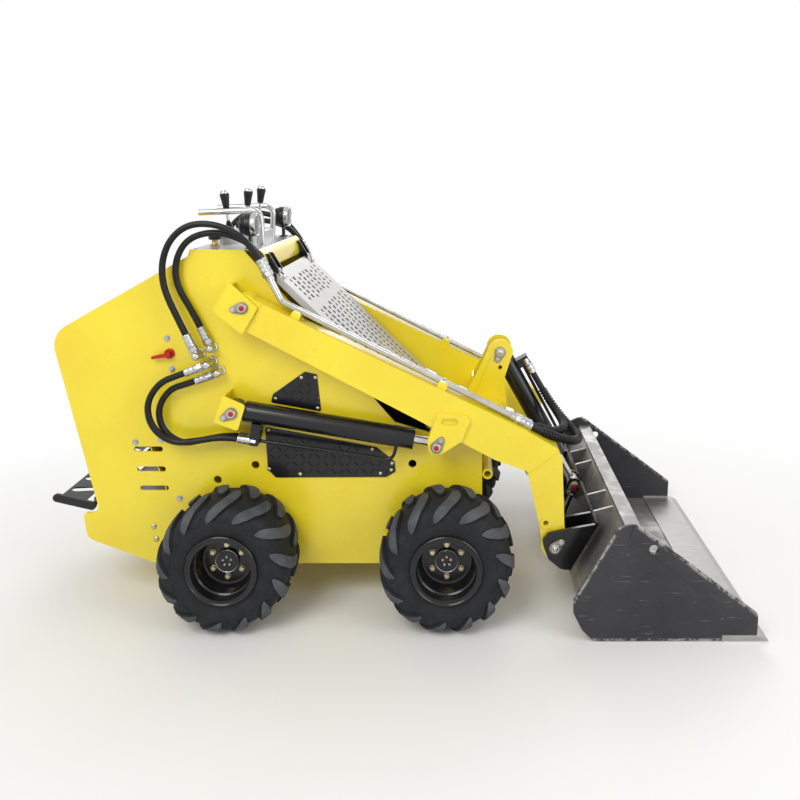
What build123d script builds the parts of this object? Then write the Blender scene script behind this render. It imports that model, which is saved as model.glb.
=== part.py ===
from build123d import *
from math import asin, atan2, cos, degrees, hypot, pi, radians, sin, sqrt, tan
import os

# Stand-on skid steer loader with a bucket, in millimetres.
# +X is forward, +Y is the machine's left, +Z is up, and the floor is Z = 0.
# Points of the side view are (X, Z), and corner tables have the columns X, Z, corner radius.

# Small clearances
running_fit = 0.05
weld_gap = 0.1
arm_side_play = 5

# Body
body_half = 292
side_thickness = 8
side_outer = body_half + side_thickness
body_front_x = 290
belly_z = 137
deck_z = 1239
sheet = 3
pan_thickness = 5

# Wheels and axles
wheel_base = 723
front_axle_x = 169
rear_axle_x = front_axle_x - wheel_base
tyre_radius = 225
tyre_inner_y = side_outer + 13
tyre_width = 215
crown_radius = 205
lug_count = 26
rim_lip_radius = 116
rim_seat_radius = 103
rim_wall = 5
rim_lip_inset = 3
disc_thickness = 8
hub_recess = 92
hub_radius = 38
bolt_circle = 55
shaft_radius = 17.5
axle_z = tyre_radius
tyre_outer_y = tyre_inner_y + tyre_width
disc_y = tyre_outer_y - hub_recess

# Lift arms and their pivots
arm_inner_y = side_outer + 10
arm_width = 70
arm_outer_y = arm_inner_y + arm_width
arm_mid_y = arm_inner_y + arm_width / 2
pivot_x, pivot_z = -502, 1056
pivot_pin_radius = 20
bracket_plate = 6
bracket_y = arm_outer_y + arm_side_play
pin_boss_radius = 44

# Lift cylinders, from the base pin to the rod's pin at rest
base_x, base_z = -546, 702
rod_pin_x, rod_pin_z = 134, 586
cylinder_pin_radius = 12.5
barrel_radius = 35
barrel_bore = 29
lift_barrel_length = 612
rod_radius = 15
barrel_eye_radius = 30
barrel_eye_width = 60
rod_eye_radius = 25
rod_eye_width = 44
rod_eye_bore = 13.5
piston_length = 40
gland_length = 45
gusset_plate = 10
keeper_radius, keeper_tail, keeper_reach = 20, 11, 30
keeper_plate = 4
pin_head_radius, pin_head = 14, 5
port_hose_y = 12

# Hoses
hose_radius = 11
hose_fitting_length = 40

# Tilt cylinder and its tower
tower_x, tower_z = 363, 829
tower_gap = 80
tower_plate = 10
tilt_eye_x, tilt_eye_z = 648, 309
tilt_barrel_length = 465
cross_tube_x, cross_tube_z = 330, 606
cross_tube_radius = 54

# Bucket pivot and quick attach
bucket_pin_x, bucket_pin_z = 532, 241
bucket_pin_radius = 15
clevis_plate = 12
attach_half = bracket_y + 5
attach_plate = 12
attach_gap = 2
ear_gap = 66

# Bucket
bucket_half = 540
bucket_side = 10
bucket_sheet = 8
bucket_floor_z = 4
back_low = (575, 137)
back_high = (711, 372)
back_recess = 48
edge_reach = 1202

# Folding operator step
fold_x, fold_z = -1068, 343
fold_clearance = 22.9
step_rod_radius = 9
step_bar_radius = 14

# Hood
hood_top = (-417, 1161)
hood_foot = (130, 623)
hood_half = body_half - 6
hood_thickness = 3
hood_lip = 22
hinge_x, hinge_z = -415, 1161
hinge_pin_radius = 5

PARTS = "parts"
os.makedirs(PARTS, exist_ok=True)


def save(name, piece):
    """Label one finished piece and write it to its own file."""
    piece.part.label = name
    export_step(piece.part, f"{PARTS}/{name}.step")


def outline(corners):
    """Closed side-view face from a table of X, Z, corner radius."""
    with BuildSketch() as face:
        with BuildLine():
            FilletPolyline(*[(x, z) for x, z, r in corners], radius=[r for x, z, r in corners], close=True)
        make_face()
    return face.sketch


def strip(points, width, side):
    """Side-view face of a folded sheet: an open line of (X, Z) points, thickened to one side."""
    with BuildSketch() as face:
        with BuildLine():
            Polyline(*points)
            offset(amount=width, side=side)
        make_face()
    return face.sketch


def side_plane(y):
    """Plane of the right side at a distance y out from the middle, its normal pointing outwards."""
    return Plane.XZ.offset(y)


def left_of(piece):
    """Left-hand twin of a right-hand piece."""
    with BuildPart() as twin:
        mirror(piece.part, about=Plane.XZ)
    return twin


def both_sides(piece):
    """A right-hand piece and its left-hand twin as one node."""
    with BuildPart() as pair:
        add(piece.part)
        mirror(piece.part, about=Plane.XZ)
    return pair


def toward(start, end):
    """Distance and angle in degrees, in the side view, from one point to another."""
    dx, dz = end[0] - start[0], end[1] - start[1]
    return hypot(dx, dz), degrees(atan2(dz, dx))


def along(start, angle, distance, lateral=0):
    """Side-view point at a distance along an angle, and lateral to its left."""
    a = radians(angle)
    return (start[0] + distance * cos(a) - lateral * sin(a), start[1] + distance * sin(a) + lateral * cos(a))


def keeper(pin, angle):
    """Side-view face of the teardrop plate that keeps a pin from turning, its tail at an angle."""
    with BuildSketch() as face:
        with Locations(pin):
            Circle(keeper_radius)
        with Locations(along(pin, angle, keeper_reach)):
            Circle(keeper_tail)
        make_hull()
    return face.sketch


def kept_pin(pin, angle, seat_y):
    """Keeper plate and pin head that stand on a bracket's outer face at Y = -seat_y."""
    with BuildPart() as piece:
        with BuildSketch(side_plane(seat_y)):
            add(keeper(pin, angle))
        extrude(amount=keeper_plate)
        with BuildSketch(side_plane(seat_y + keeper_plate)):
            with Locations(pin):
                Circle(pin_head_radius)
        extrude(amount=pin_head)
    return piece.part


# Side plates
rear_top = (-1183, 948)
fold_reach, fold_angle = toward(rear_top, (fold_x, fold_z))
rear_edge_angle = fold_angle + degrees(asin(fold_clearance / fold_reach))
notch_z = fold_z - fold_clearance
notch_x = rear_top[0] + (notch_z - rear_top[1]) / tan(radians(rear_edge_angle))
SIDE_PLATE = [
    (-700, deck_z, 0),
    (-708, 1216, 8),
    (-740, 1199, 0),
    (*rear_top, 80),
    (notch_x, notch_z, fold_clearance),
    (-1098, notch_z, 14),
    (-1086, 228, 35),
    (-849, belly_z, 0),
    (body_front_x, belly_z, 6),
    (289, 535, 0),
    (216, 572, 0),
    (-11, 641, 0),
    (-519, deck_z, 0),
]
slot_length, slot_height = 100, 19
SIDE_SLOTS = [(-863, 547), (-855, 476), (-847, 408)]
SIDE_HOLES = [(-495, 491), (-627, 438), (48, 495)]
side_hole_radius = 14
motor_neck_radius = 45

with BuildPart() as side_plate:
    with BuildSketch(side_plane(body_half)):
        add(outline(SIDE_PLATE))
        with Locations(*SIDE_SLOTS):
            SlotOverall(slot_length, slot_height, mode=Mode.SUBTRACT)
        with Locations(*SIDE_HOLES):
            Circle(side_hole_radius, mode=Mode.SUBTRACT)
        with Locations((rear_axle_x, axle_z), (front_axle_x, axle_z)):
            Circle(motor_neck_radius + weld_gap, mode=Mode.SUBTRACT)
    extrude(amount=side_thickness)
save("side_plate_r", side_plate)
save("side_plate_l", left_of(side_plate))

# Belly pan, front panel and the tube across the front
pan_rear = (-1060, 223)
pan_knee_x = -849
front_panel_x = 285
front_fold_z = 531
panel_top = (136, 608)
front_tube_radius, front_tube_bore = 18, 11.5
front_tube_z = 458
front_tube_x = body_front_x + front_tube_radius

with BuildPart() as belly_pan:
    with BuildSketch(side_plane(0)):
        pan_line = [(front_panel_x - 1, belly_z + 4), (pan_knee_x, belly_z + 4), pan_rear]
        add(strip(pan_line, pan_thickness, Side.RIGHT))
    extrude(amount=body_half, both=True)
save("belly_pan", belly_pan)

with BuildPart() as front_panel:
    with BuildSketch(side_plane(0)):
        panel_line = [(front_panel_x, belly_z + 4), (front_panel_x, front_fold_z), panel_top]
        add(strip(panel_line, sheet, Side.RIGHT))
    extrude(amount=body_half, both=True)
save("front_panel", front_panel)

with BuildPart() as front_tie_tube:
    with BuildSketch(side_plane(0)):
        with Locations((front_tube_x + weld_gap, front_tube_z)):
            Circle(front_tube_radius)
            Circle(front_tube_bore, mode=Mode.SUBTRACT)
    extrude(amount=side_outer, both=True)
save("front_tie_tube", front_tie_tube)

# Rear panel in front of the operator, the operator's floor and the deck
deck_rear_x = -700
deck_front_x = -469
floor_z = 326
floor_thickness = 4
floor_rear_x = fold_x + step_bar_radius + 6
floor_front_x = -803
lug_radius = 17
LUG_Y = (-230, 0, 230)
lug_width = 30

with BuildPart() as rear_panel:
    with BuildSketch(side_plane(0)):
        rear_line = [(deck_rear_x, 1214), (-985, 1052), (-859, 547), (-812, 408), (floor_front_x, floor_z + 5)]
        add(strip(rear_line, sheet, Side.LEFT))
    extrude(amount=body_half, both=True)
save("rear_panel", rear_panel)

with BuildPart() as operator_floor:
    with BuildSketch(side_plane(0)):
        with Locations(((floor_rear_x + floor_front_x) / 2, floor_z)):
            Rectangle(floor_front_x - floor_rear_x, floor_thickness)
    extrude(amount=body_half, both=True)
    for y in LUG_Y:
        with BuildSketch(side_plane(-y - lug_width / 2)):
            add(outline([
                (floor_rear_x + 30, floor_z - 2, 0),
                (floor_rear_x + 30, floor_z + 2, 0),
                (floor_rear_x + 14, fold_z + 13, 4),
                (fold_x, fold_z + lug_radius, 0),
                (fold_x, fold_z - lug_radius, 0),
            ]))
            with Locations((fold_x, fold_z)):
                Circle(lug_radius)
                Circle(step_rod_radius + running_fit, mode=Mode.SUBTRACT)
        extrude(amount=lug_width)
save("operator_floor", operator_floor)

with BuildPart() as top_deck:
    with BuildSketch(side_plane(0)):
        add(strip([(deck_rear_x, 1219), (deck_rear_x, deck_z), (deck_front_x, deck_z)], sheet, Side.RIGHT))
    extrude(amount=body_half, both=True)
save("top_deck", top_deck)

# Rounded cowl between the deck and the hood
cowl_foot = (-440, 1172)
cowl_bulge = (-449, 1219)
cowl_half = body_half - weld_gap
cowl_seat = 2.2
with BuildPart() as cowl:
    with BuildSketch(side_plane(0)):
        with BuildLine():
            ThreePointArc((deck_front_x + cowl_seat, deck_z), cowl_bulge, cowl_foot)
            offset(amount=sheet, side=Side.RIGHT)
        make_face()
    extrude(amount=cowl_half, both=True)
save("cowl", cowl)

# Engine, one plain block that stands on the belly pan
engine_half = 200
ENGINE = [
    (-330, belly_z + 4 + pan_thickness, 0),
    (70, belly_z + 4 + pan_thickness, 0),
    (70, 595, 0),
    (-330, 990, 0),
]
with BuildPart() as engine_block:
    with BuildSketch(side_plane(0)):
        add(outline(ENGINE))
    extrude(amount=engine_half, both=True)
save("engine_block", engine_block)

# Vent covers on the side plates
UPPER_VENT = [(-428, 742, 6), (-318, 820, 6), (-277, 810, 6), (-264, 681, 6), (-436, 713, 6)]
LOWER_VENT = [
    (-458, 627, 8), (-76, 555, 12), (-13, 504, 12), (-10, 468, 6), (-42, 449, 6), (-424, 447, 8), (-451, 475, 6),
]
vent_pitch = 26.5
vent_slot_length, vent_slot_width = 22, 4.5
# Square lattice of slots in each cover: X and Z of its origin, then runs of first column, row, count
VENT_SLOTS = [
    (-436, 470, [(0, 0, 16), (0, 1, 15), (0, 2, 14), (0, 3, 12), (0, 4, 7), (0, 5, 2)]),
    (-412, 722, [(0, 0, 6), (1, 1, 4), (3, 2, 2), (4, 3, 1)]),
]
with BuildPart() as vent_plate:
    with BuildSketch(side_plane(side_outer)):
        add(outline(UPPER_VENT))
        add(outline(LOWER_VENT))
    extrude(amount=sheet)
    with BuildSketch(side_plane(side_outer)):
        for origin_x, origin_z, runs in VENT_SLOTS:
            for first, row, count in runs:
                for column in range(first, first + count):
                    lean = 45 if (column + row) % 2 else -45
                    place = (origin_x + column * vent_pitch, origin_z + row * vent_pitch)
                    with Locations(Location(place, lean)):
                        Rectangle(vent_slot_length, vent_slot_width)
    extrude(amount=sheet, mode=Mode.SUBTRACT)
save("vent_plates", both_sides(vent_plate))

# Brackets that carry the lift arms' pivot pins
bracket_top = (-544, 1142)
bracket_rear = (-598, 1048)
bracket_foot = (-505, 965)
bracket_front = (-451, 1056)
with BuildPart() as arm_mount:
    with BuildSketch(side_plane(bracket_y)):
        add(outline([(*bracket_top, 12), (*bracket_rear, 12), (*bracket_foot, 10), (*bracket_front, 10)]))
    extrude(amount=bracket_plate)
    with BuildSketch(side_plane(side_outer)):
        fold_line = [along(bracket_top, 240, 12), bracket_rear, along(bracket_rear, -42, 100)]
        add(strip(fold_line, bracket_plate, Side.LEFT))
    extrude(amount=bracket_y - side_outer)
    with BuildSketch(side_plane(side_outer)):
        with Locations((pivot_x, pivot_z)):
            Circle(pivot_pin_radius)
    extrude(amount=bracket_y + bracket_plate - side_outer)
    add(kept_pin((pivot_x, pivot_z), 190, bracket_y + bracket_plate))
save("arm_mounts", both_sides(arm_mount))

# Brackets that carry the lift cylinders' base pins
with BuildPart() as cylinder_mount:
    with BuildSketch(side_plane(bracket_y)):
        add(outline([(-573, 762, 10), (-606, 672, 10), (-527, 641, 10), (-500, 728, 10)]))
    extrude(amount=bracket_plate)
    with BuildSketch(side_plane(side_outer)):
        add(strip([(-573, 762), (-606, 672), (-566, 656)], bracket_plate, Side.LEFT))
    extrude(amount=bracket_y - side_outer)
    with BuildSketch(side_plane(side_outer)):
        with Locations((base_x, base_z)):
            Circle(cylinder_pin_radius)
    extrude(amount=bracket_y + bracket_plate - side_outer)
    add(kept_pin((base_x, base_z), 210, bracket_y + bracket_plate))
save("cylinder_mounts", both_sides(cylinder_mount))

# Wheel motors: body inside the side plate, neck through it, flange and shaft outside
motor_body_radius = 70
motor_length = 130
flange_radius = 62
flange_length = 26
shaft_end_y = disc_y + 16
with BuildPart() as wheel_motor:
    for axle_x in (rear_axle_x, front_axle_x):
        with BuildSketch(side_plane(body_half - motor_length)):
            with Locations((axle_x, axle_z)):
                Circle(motor_body_radius)
        extrude(amount=motor_length)
        with BuildSketch(side_plane(body_half)):
            with Locations((axle_x, axle_z)):
                Circle(motor_neck_radius)
        extrude(amount=side_thickness)
        with BuildSketch(side_plane(side_outer)):
            with Locations((axle_x, axle_z)):
                Circle(flange_radius)
        extrude(amount=flange_length)
        with BuildSketch(side_plane(side_outer + flange_length)):
            with Locations((axle_x, axle_z)):
                Circle(shaft_radius)
        extrude(amount=shaft_end_y - side_outer - flange_length)
save("wheel_motors", both_sides(wheel_motor))

# Control valve on the deck, its levers, the grab rails and the lamps
valve_x, valve_y = -590, 0
valve_length, valve_width, valve_height = 150, 210, 46
with BuildPart() as control_valve:
    with BuildSketch(Plane.XY.offset(deck_z)):
        with Locations((valve_x, valve_y)):
            RectangleRounded(valve_length, valve_width, 8)
    extrude(amount=valve_height)
    chamfer(control_valve.edges().group_by(Axis.Z)[-1], 4)
save("control_valve", control_valve)

# Lever table: X and Z of the knob's top, Y of the lever, X of its foot
LEVERS = [(-648, 1433, -75, -630), (-578, 1440, 0, -590), (-548, 1448, 75, -565)]
lever_radius = 5
knob_length, knob_radius, knob_neck = 64, 16, 10
lever_foot_z = deck_z + valve_height + lever_radius / 4
with BuildPart() as control_levers:
    for top_x, top_z, y, foot_x in LEVERS:
        lean = toward((foot_x, lever_foot_z), (top_x, top_z))
        lever_plane = Plane(
            origin=(foot_x, y, lever_foot_z),
            x_dir=(0, 1, 0),
            z_dir=(cos(radians(lean[1])), 0, sin(radians(lean[1]))),
        )
        with BuildSketch(lever_plane):
            Circle(lever_radius)
        extrude(amount=lean[0] - knob_length)
        with BuildSketch(lever_plane.offset(lean[0] - knob_length)):
            Circle(knob_neck)
        with BuildSketch(lever_plane.offset(lean[0] - knob_radius)):
            Circle(knob_radius)
        loft()
        with BuildSketch(lever_plane.offset(lean[0] - knob_radius)):
            Circle(knob_radius)
        extrude(amount=knob_radius, taper=20)
save("control_levers", control_levers)

# Rail table: Y, X of the free end, Z of the free end, X of the bend, Z of the bend, X of the foot
RAILS = [(-120, -725, 1355, -505, 1364, -498), (195, -756, 1358, -532, 1368, -540)]
rail_radius = 11
rail_bend = 34
rail_foot_z = deck_z + 0.9
with BuildPart() as grab_rails:
    for y, end_x, end_z, bend_x, bend_z, foot_x in RAILS:
        with BuildLine() as rail_path:
            FilletPolyline((foot_x, y, rail_foot_z), (bend_x, y, bend_z), (end_x, y, end_z), radius=rail_bend)
        with BuildSketch(Plane(origin=(foot_x, y, rail_foot_z), z_dir=rail_path.line % 0)):
            Circle(rail_radius)
        sweep()
save("grab_rails", grab_rails)

lamp_inset = 43
lamp_x, lamp_y, lamp_z = -507, body_half - lamp_inset, 1320
lamp_radius = 39
lamp_depth = 46
with BuildPart() as work_lamp:
    with BuildSketch(Plane.YZ.offset(lamp_x - lamp_depth / 2)):
        with Locations((-lamp_y, lamp_z)):
            Circle(lamp_radius - 5)
    with BuildSketch(Plane.YZ.offset(lamp_x - lamp_depth / 4)):
        with Locations((-lamp_y, lamp_z)):
            Circle(lamp_radius)
    loft()
    with BuildSketch(Plane.YZ.offset(lamp_x - lamp_depth / 4)):
        with Locations((-lamp_y, lamp_z)):
            Circle(lamp_radius)
    extrude(amount=lamp_depth * 3 / 4)
    with BuildSketch(Plane.XY.offset(deck_z)):
        with Locations((lamp_x, -lamp_y)):
            Rectangle(26, 40)
    extrude(amount=4)
    with BuildSketch(Plane.XY.offset(deck_z + 4)):
        with Locations((lamp_x, -lamp_y)):
            Rectangle(8, 26)
    extrude(amount=lamp_z - lamp_radius - deck_z + 4)
save("work_lamps", both_sides(work_lamp))

cap_x, cap_y = -655, -170
cap_neck_radius, cap_radius = 10, 21
cap_neck_height, cap_height = 24, 22
with BuildPart() as filler_cap:
    with BuildSketch(Plane.XY.offset(deck_z)):
        with Locations((cap_x, cap_y)):
            Circle(cap_neck_radius)
    extrude(amount=cap_neck_height)
    with BuildSketch(Plane.XY.offset(deck_z + cap_neck_height)):
        with Locations((cap_x, cap_y)):
            Circle(cap_radius)
    extrude(amount=cap_height)
save("filler_cap", filler_cap)

# Battery switch on the right side plate
key_x, key_z = -778, 883
key_base_radius, key_base = 17, 8
key_stem_radius, key_stem = 9, 14
with BuildPart() as key_switch:
    with BuildSketch(side_plane(side_outer)):
        with Locations((key_x, key_z)):
            Circle(key_base_radius)
    extrude(amount=key_base)
    with BuildSketch(side_plane(side_outer + key_base)):
        with Locations((key_x, key_z)):
            Circle(key_stem_radius)
    extrude(amount=key_stem)
    with BuildSketch(side_plane(side_outer + key_stem)):
        add(outline([
            (key_x + 8, key_z + 7, 3),
            (key_x - 57, key_z - 6, 4),
            (key_x - 55, key_z - 16, 4),
            (key_x + 8, key_z - 7, 3),
        ]))
    extrude(amount=key_base)
save("key_switch", key_switch)

# Elbow fittings on the side plates: X, Z, distance of the hose from the middle, angle of the hose
upper_hose_y = (arm_inner_y + 35, arm_inner_y + 11)
lower_hose_y = (arm_mid_y + port_hose_y, arm_mid_y - port_hose_y)
PORTS = [
    (-672, 885, upper_hose_y[0], 115),
    (-630, 906, upper_hose_y[1], 115),
    (-632, 858, lower_hose_y[0], 200),
    (-606, 824, lower_hose_y[1], 200),
]
port_radius = 13
with BuildPart() as hose_port:
    for x, z, hose_y, angle in PORTS:
        with BuildSketch(side_plane(side_outer)):
            with Locations((x, z)):
                Circle(port_radius)
        extrude(amount=hose_y + port_radius - side_outer)
        ahead = (cos(radians(angle)), 0, sin(radians(angle)))
        with BuildSketch(Plane(origin=(x, -hose_y, z), x_dir=(0, 1, 0), z_dir=ahead)):
            Circle(hose_radius)
        extrude(amount=hose_fitting_length)
save("hose_ports", both_sides(hose_port))

# Hood with folded edges, hinged at its top corners
hood_length, hood_angle = toward(hood_top, hood_foot)
knuckle_radius = 10
knuckle_width = 24
hinge_y = 250
leaf_thickness = 6
hinge_span = 60
ear_thickness = 8
ear_notch = 22
hole_pitch, hole_length = 22.4, 15
hole_columns, hole_column_pitch, hole_width = 4, 108, 23
# Fields of holes: distance of the first row from the hood's top edge, number of rows
HOLE_FIELDS = [(55, 5), (206, 21)]
slope = radians(hood_angle)
hood_plane = Plane(
    origin=(hood_top[0], 0, hood_top[1]),
    x_dir=(cos(slope), 0, sin(slope)),
    z_dir=(-sin(slope), 0, cos(slope)),
)
with BuildPart() as hood:
    with BuildSketch(side_plane(0)):
        add(outline([
            (*hood_top, 0),
            (*hood_foot, 0),
            (*along(hood_foot, hood_angle, 0, -hood_lip), 0),
            (*along(hood_top, hood_angle, 30, -hood_lip), 0),
            (*along(hood_top, hood_angle, 12, -hood_thickness), 0),
        ]))
    extrude(amount=hood_half, both=True)
    with BuildSketch(side_plane(0)):
        add(outline([
            (*along(hood_top, hood_angle, -5, -hood_thickness), 0),
            (*along(hood_foot, hood_angle, -hood_thickness, -hood_thickness), 0),
            (*along(hood_foot, hood_angle, -hood_thickness, -hood_lip - 5), 0),
            (*along(hood_top, hood_angle, -5, -hood_lip - 5), 0),
        ]))
    extrude(amount=hood_half - hood_thickness, both=True, mode=Mode.SUBTRACT)
    # Cooling holes in four columns, in an upper and a lower field
    with BuildSketch(hood_plane):
        for first, rows in HOLE_FIELDS:
            with Locations((first + (rows - 1) * hole_pitch / 2, 0)):
                with GridLocations(hole_pitch, hole_column_pitch, rows, hole_columns):
                    Rectangle(hole_length, hole_width)
    extrude(amount=-2 * hood_thickness, mode=Mode.SUBTRACT)
    # At each hinge the sheet is cut away round the ears, and a leaf carries the knuckle
    for side in (-1, 1):
        with BuildSketch(side_plane(side * hinge_y - hinge_span / 2 - 5)):
            with Locations((hinge_x, hinge_z)):
                Circle(ear_notch)
        extrude(amount=hinge_span + 10, mode=Mode.SUBTRACT)
        with BuildSketch(side_plane(side * hinge_y - knuckle_width / 2)):
            with Locations((hinge_x, hinge_z)):
                Circle(knuckle_radius)
            add(outline([
                (*along(hood_top, hood_angle, 0, 0), 0),
                (*along(hood_top, hood_angle, ear_notch + 4, 0), 0),
                (*along(hood_top, hood_angle, ear_notch + 4, -leaf_thickness), 0),
                (*along(hood_top, hood_angle, 0, -leaf_thickness), 0),
            ]))
            with Locations((hinge_x, hinge_z)):
                Circle(hinge_pin_radius + running_fit, mode=Mode.SUBTRACT)
        extrude(amount=knuckle_width)
save("hood", hood)

with BuildPart() as hood_hinge:
    with BuildSketch(side_plane(hinge_y - hinge_span / 2)):
        with Locations((hinge_x, hinge_z)):
            Circle(hinge_pin_radius)
    extrude(amount=hinge_span)
    for y in (hinge_y - hinge_span / 2, hinge_y + hinge_span / 2 - ear_thickness):
        with BuildSketch(side_plane(y)):
            add(outline([
                (hinge_x + 9, hinge_z - 6, 5),
                (hinge_x + 9, hinge_z + 9, 5),
                (cowl_bulge[0] + 12, cowl_bulge[1] + 4, 5),
                (cowl_bulge[0] - 4, cowl_bulge[1] + 4, 0),
                (cowl_foot[0] - 6, cowl_foot[1] + 2, 0),
                (hinge_x - 9, hinge_z - 9, 5),
            ]))
            with BuildLine():
                cowl_arc = ThreePointArc((deck_front_x + cowl_seat, deck_z), cowl_bulge, cowl_foot)
                inside_x = cowl_foot[0] - 60
                Polyline(cowl_arc @ 1, (inside_x, cowl_foot[1]), (inside_x, deck_z), cowl_arc @ 0)
            make_face(mode=Mode.SUBTRACT)
        extrude(amount=ear_thickness)
save("hood_hinges", both_sides(hood_hinge))

# Folding step: two side bars, the rod that hinges them and the tread plate between them
step_angle = 180 - 13.5
step_bar_length = 123.4
step_bar_y = side_outer
step_bar_width = 10
tread_start, tread_end = 34, 118
tread_thickness = 5
HOLE_ROWS = (-200, -100, 0, 100, 200)
with BuildPart() as fold_step:
    for side in (-1, 1):
        with BuildSketch(side_plane(step_bar_y - step_bar_width if side > 0 else -step_bar_y)):
            with Locations(Location(along((fold_x, fold_z), step_angle, step_bar_length / 2), step_angle)):
                SlotCenterToCenter(step_bar_length, 2 * step_bar_radius)
        extrude(amount=step_bar_width)
    with BuildSketch(side_plane(0)):
        with Locations((fold_x, fold_z)):
            Circle(step_rod_radius)
    extrude(amount=step_bar_y - step_bar_width, both=True)
    tread_mid = along((fold_x, fold_z), step_angle, (tread_start + tread_end) / 2)
    with BuildSketch(side_plane(0)):
        with Locations(Location(tread_mid, step_angle)):
            Rectangle(tread_end - tread_start, tread_thickness)
    extrude(amount=step_bar_y - step_bar_width, both=True)
    tread_top = Plane(
        origin=(tread_mid[0], 0, tread_mid[1]),
        x_dir=(cos(radians(step_angle)), 0, sin(radians(step_angle))),
        z_dir=(sin(radians(13.5)), 0, cos(radians(13.5))),
    )
    with BuildSketch(tread_top.offset(-tread_thickness)):
        with Locations(*[Location((0, y), 35) for y in HOLE_ROWS]):
            SlotOverall(80, 30)
    extrude(amount=2 * tread_thickness, mode=Mode.SUBTRACT)
save("fold_step", fold_step)

# Lift arms
ARM = [
    (-520, 1106.7, 30),
    (-553, 1050, 20),
    (-520, 1003, 20),
    (-495, 975.4, 0),
    (330, 539, 60),
    (439, 499, 14),
    (482, 303, 0),
    (490, 241, 0),
    (576, 241, 0),
    (565, 312, 0),
    (556, 543, 20),
    (541, 577, 20),
    (433, 640, 80),
]
leg_end_radius = 45
tie_x, tie_z = 502, 321
tie_radius, tie_bore = 19, 9.5
inner_gusset = 8
GUSSET_FOOT = [(219, 606, 10), (150, 562, 20), (112, 562, 20), (104, 600, 20)]
GUSSET = [(139, 704, 10), (239, 691, 8), (247, 677, 8), *GUSSET_FOOT]
with BuildPart() as arm:
    with BuildSketch(side_plane(arm_inner_y)):
        add(outline(ARM))
        with Locations((pivot_x, pivot_z)):
            Circle(pin_boss_radius)
        with Locations((bucket_pin_x, bucket_pin_z)):
            Circle(leg_end_radius)
    extrude(amount=arm_width)
    with BuildSketch(side_plane(arm_outer_y)):
        add(outline(GUSSET))
        with Locations((178, 672)):
            SlotOverall(56, 22, mode=Mode.SUBTRACT)
    extrude(amount=gusset_plate)
    with BuildSketch(side_plane(arm_inner_y)):
        add(outline([(120, 655, 0), (225, 620, 0), *GUSSET_FOOT]))
    extrude(amount=inner_gusset)
    add(kept_pin((rod_pin_x, rod_pin_z), 57, arm_outer_y + gusset_plate))
    with BuildSketch(side_plane(arm_outer_y)):
        with Locations((tie_x, tie_z)):
            Circle(tie_radius)
    extrude(amount=4)
    with BuildSketch(side_plane(arm_inner_y)):
        with Locations((pivot_x, pivot_z)):
            Circle(pivot_pin_radius + running_fit)
        with Locations((bucket_pin_x, bucket_pin_z)):
            Circle(bucket_pin_radius + running_fit)
        with Locations((tie_x, tie_z)):
            Circle(tie_bore)
    extrude(amount=arm_width + 4, mode=Mode.SUBTRACT)
save("arm_r", arm)
save("arm_l", left_of(arm))

with BuildPart() as cross_tube:
    with BuildSketch(side_plane(0)):
        with Locations((cross_tube_x, cross_tube_z)):
            Circle(cross_tube_radius)
            Circle(cross_tube_radius - 8, mode=Mode.SUBTRACT)
    extrude(amount=arm_inner_y, both=True)
save("cross_tube", cross_tube)

TOWER = [
    (tower_x - 46, tower_z + 4, 0),
    (236, 670, 30),
    (270, 600, 0),
    (385, 600, 0),
    (389, 644, 0),
    (378, 725, 60),
    (412, 831, 0),
]
tower_top_radius = 47
tower_hole = 8
tower_web, tower_web_length = 8, 90
with BuildPart() as tower:
    with BuildSketch(side_plane(tower_gap / 2)):
        add(outline(TOWER))
        with Locations((tower_x, tower_z)):
            Circle(tower_top_radius)
        with Locations((cross_tube_x, cross_tube_z)):
            Circle(cross_tube_radius + weld_gap, mode=Mode.SUBTRACT)
        with Locations((tower_x, tower_z - 59)):
            Circle(tower_hole, mode=Mode.SUBTRACT)
        with Locations(((cross_tube_x, cross_tube_z - 60))):
            Rectangle(200, 120, mode=Mode.SUBTRACT)
    extrude(amount=tower_plate)
    mirror(tower.part, about=Plane.XZ)
    with BuildSketch(side_plane(0)):
        with Locations((tower_x, tower_z)):
            Circle(cylinder_pin_radius)
    extrude(amount=tower_gap / 2 + tower_plate, both=True)
    add(kept_pin((tower_x, tower_z), 250, tower_gap / 2 + tower_plate))
    add(kept_pin((tower_x, tower_z), 250, tower_gap / 2 + tower_plate).mirror(Plane.XZ))
    with BuildSketch(side_plane(0)):
        with Locations((cross_tube_x - 68, cross_tube_z + 84)):
            Rectangle(tower_web, tower_web_length)
    extrude(amount=tower_gap / 2, both=True)
save("tower", tower)

# Steel hydraulic lines that run along each arm
PIPE = [(-436, 1174), (-385, 1068), (419, 660)]
pipe_radius = 8
STRAPS = [-336, 149]
strap_width, strap_height = 30, 22
arm_slope = toward((-439, 1067), (433, 640))[1]
with BuildPart() as arm_pipe:
    for pipe_y in upper_hose_y:
        with BuildLine() as pipe_path:
            FilletPolyline(*[(x, -pipe_y, z) for x, z in PIPE], radius=40)
        with BuildSketch(Plane(origin=pipe_path.line @ 0, z_dir=pipe_path.line % 0)):
            Circle(pipe_radius)
        sweep()
        # A crimped fitting at each end takes the hose
        pipe = pipe_path.line
        for end, ahead in ((pipe @ 0, pipe % 0), (pipe @ 1, pipe % 1 * -1)):
            with BuildSketch(Plane(origin=end, z_dir=ahead)):
                Circle(hose_radius)
            extrude(amount=hose_fitting_length)
    for strap_x in STRAPS:
        strap_z = 1067 + (strap_x + 439) * (640 - 1067) / (433 + 439)
        with BuildSketch(side_plane(arm_inner_y + 2)):
            strap_middle = along((strap_x, strap_z), arm_slope, 0, strap_height / 2 + weld_gap)
            with Locations(Location(strap_middle, arm_slope)):
                Rectangle(strap_width, strap_height)
        extrude(amount=arm_width - 20)
save("arm_pipes", both_sides(arm_pipe))


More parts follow.
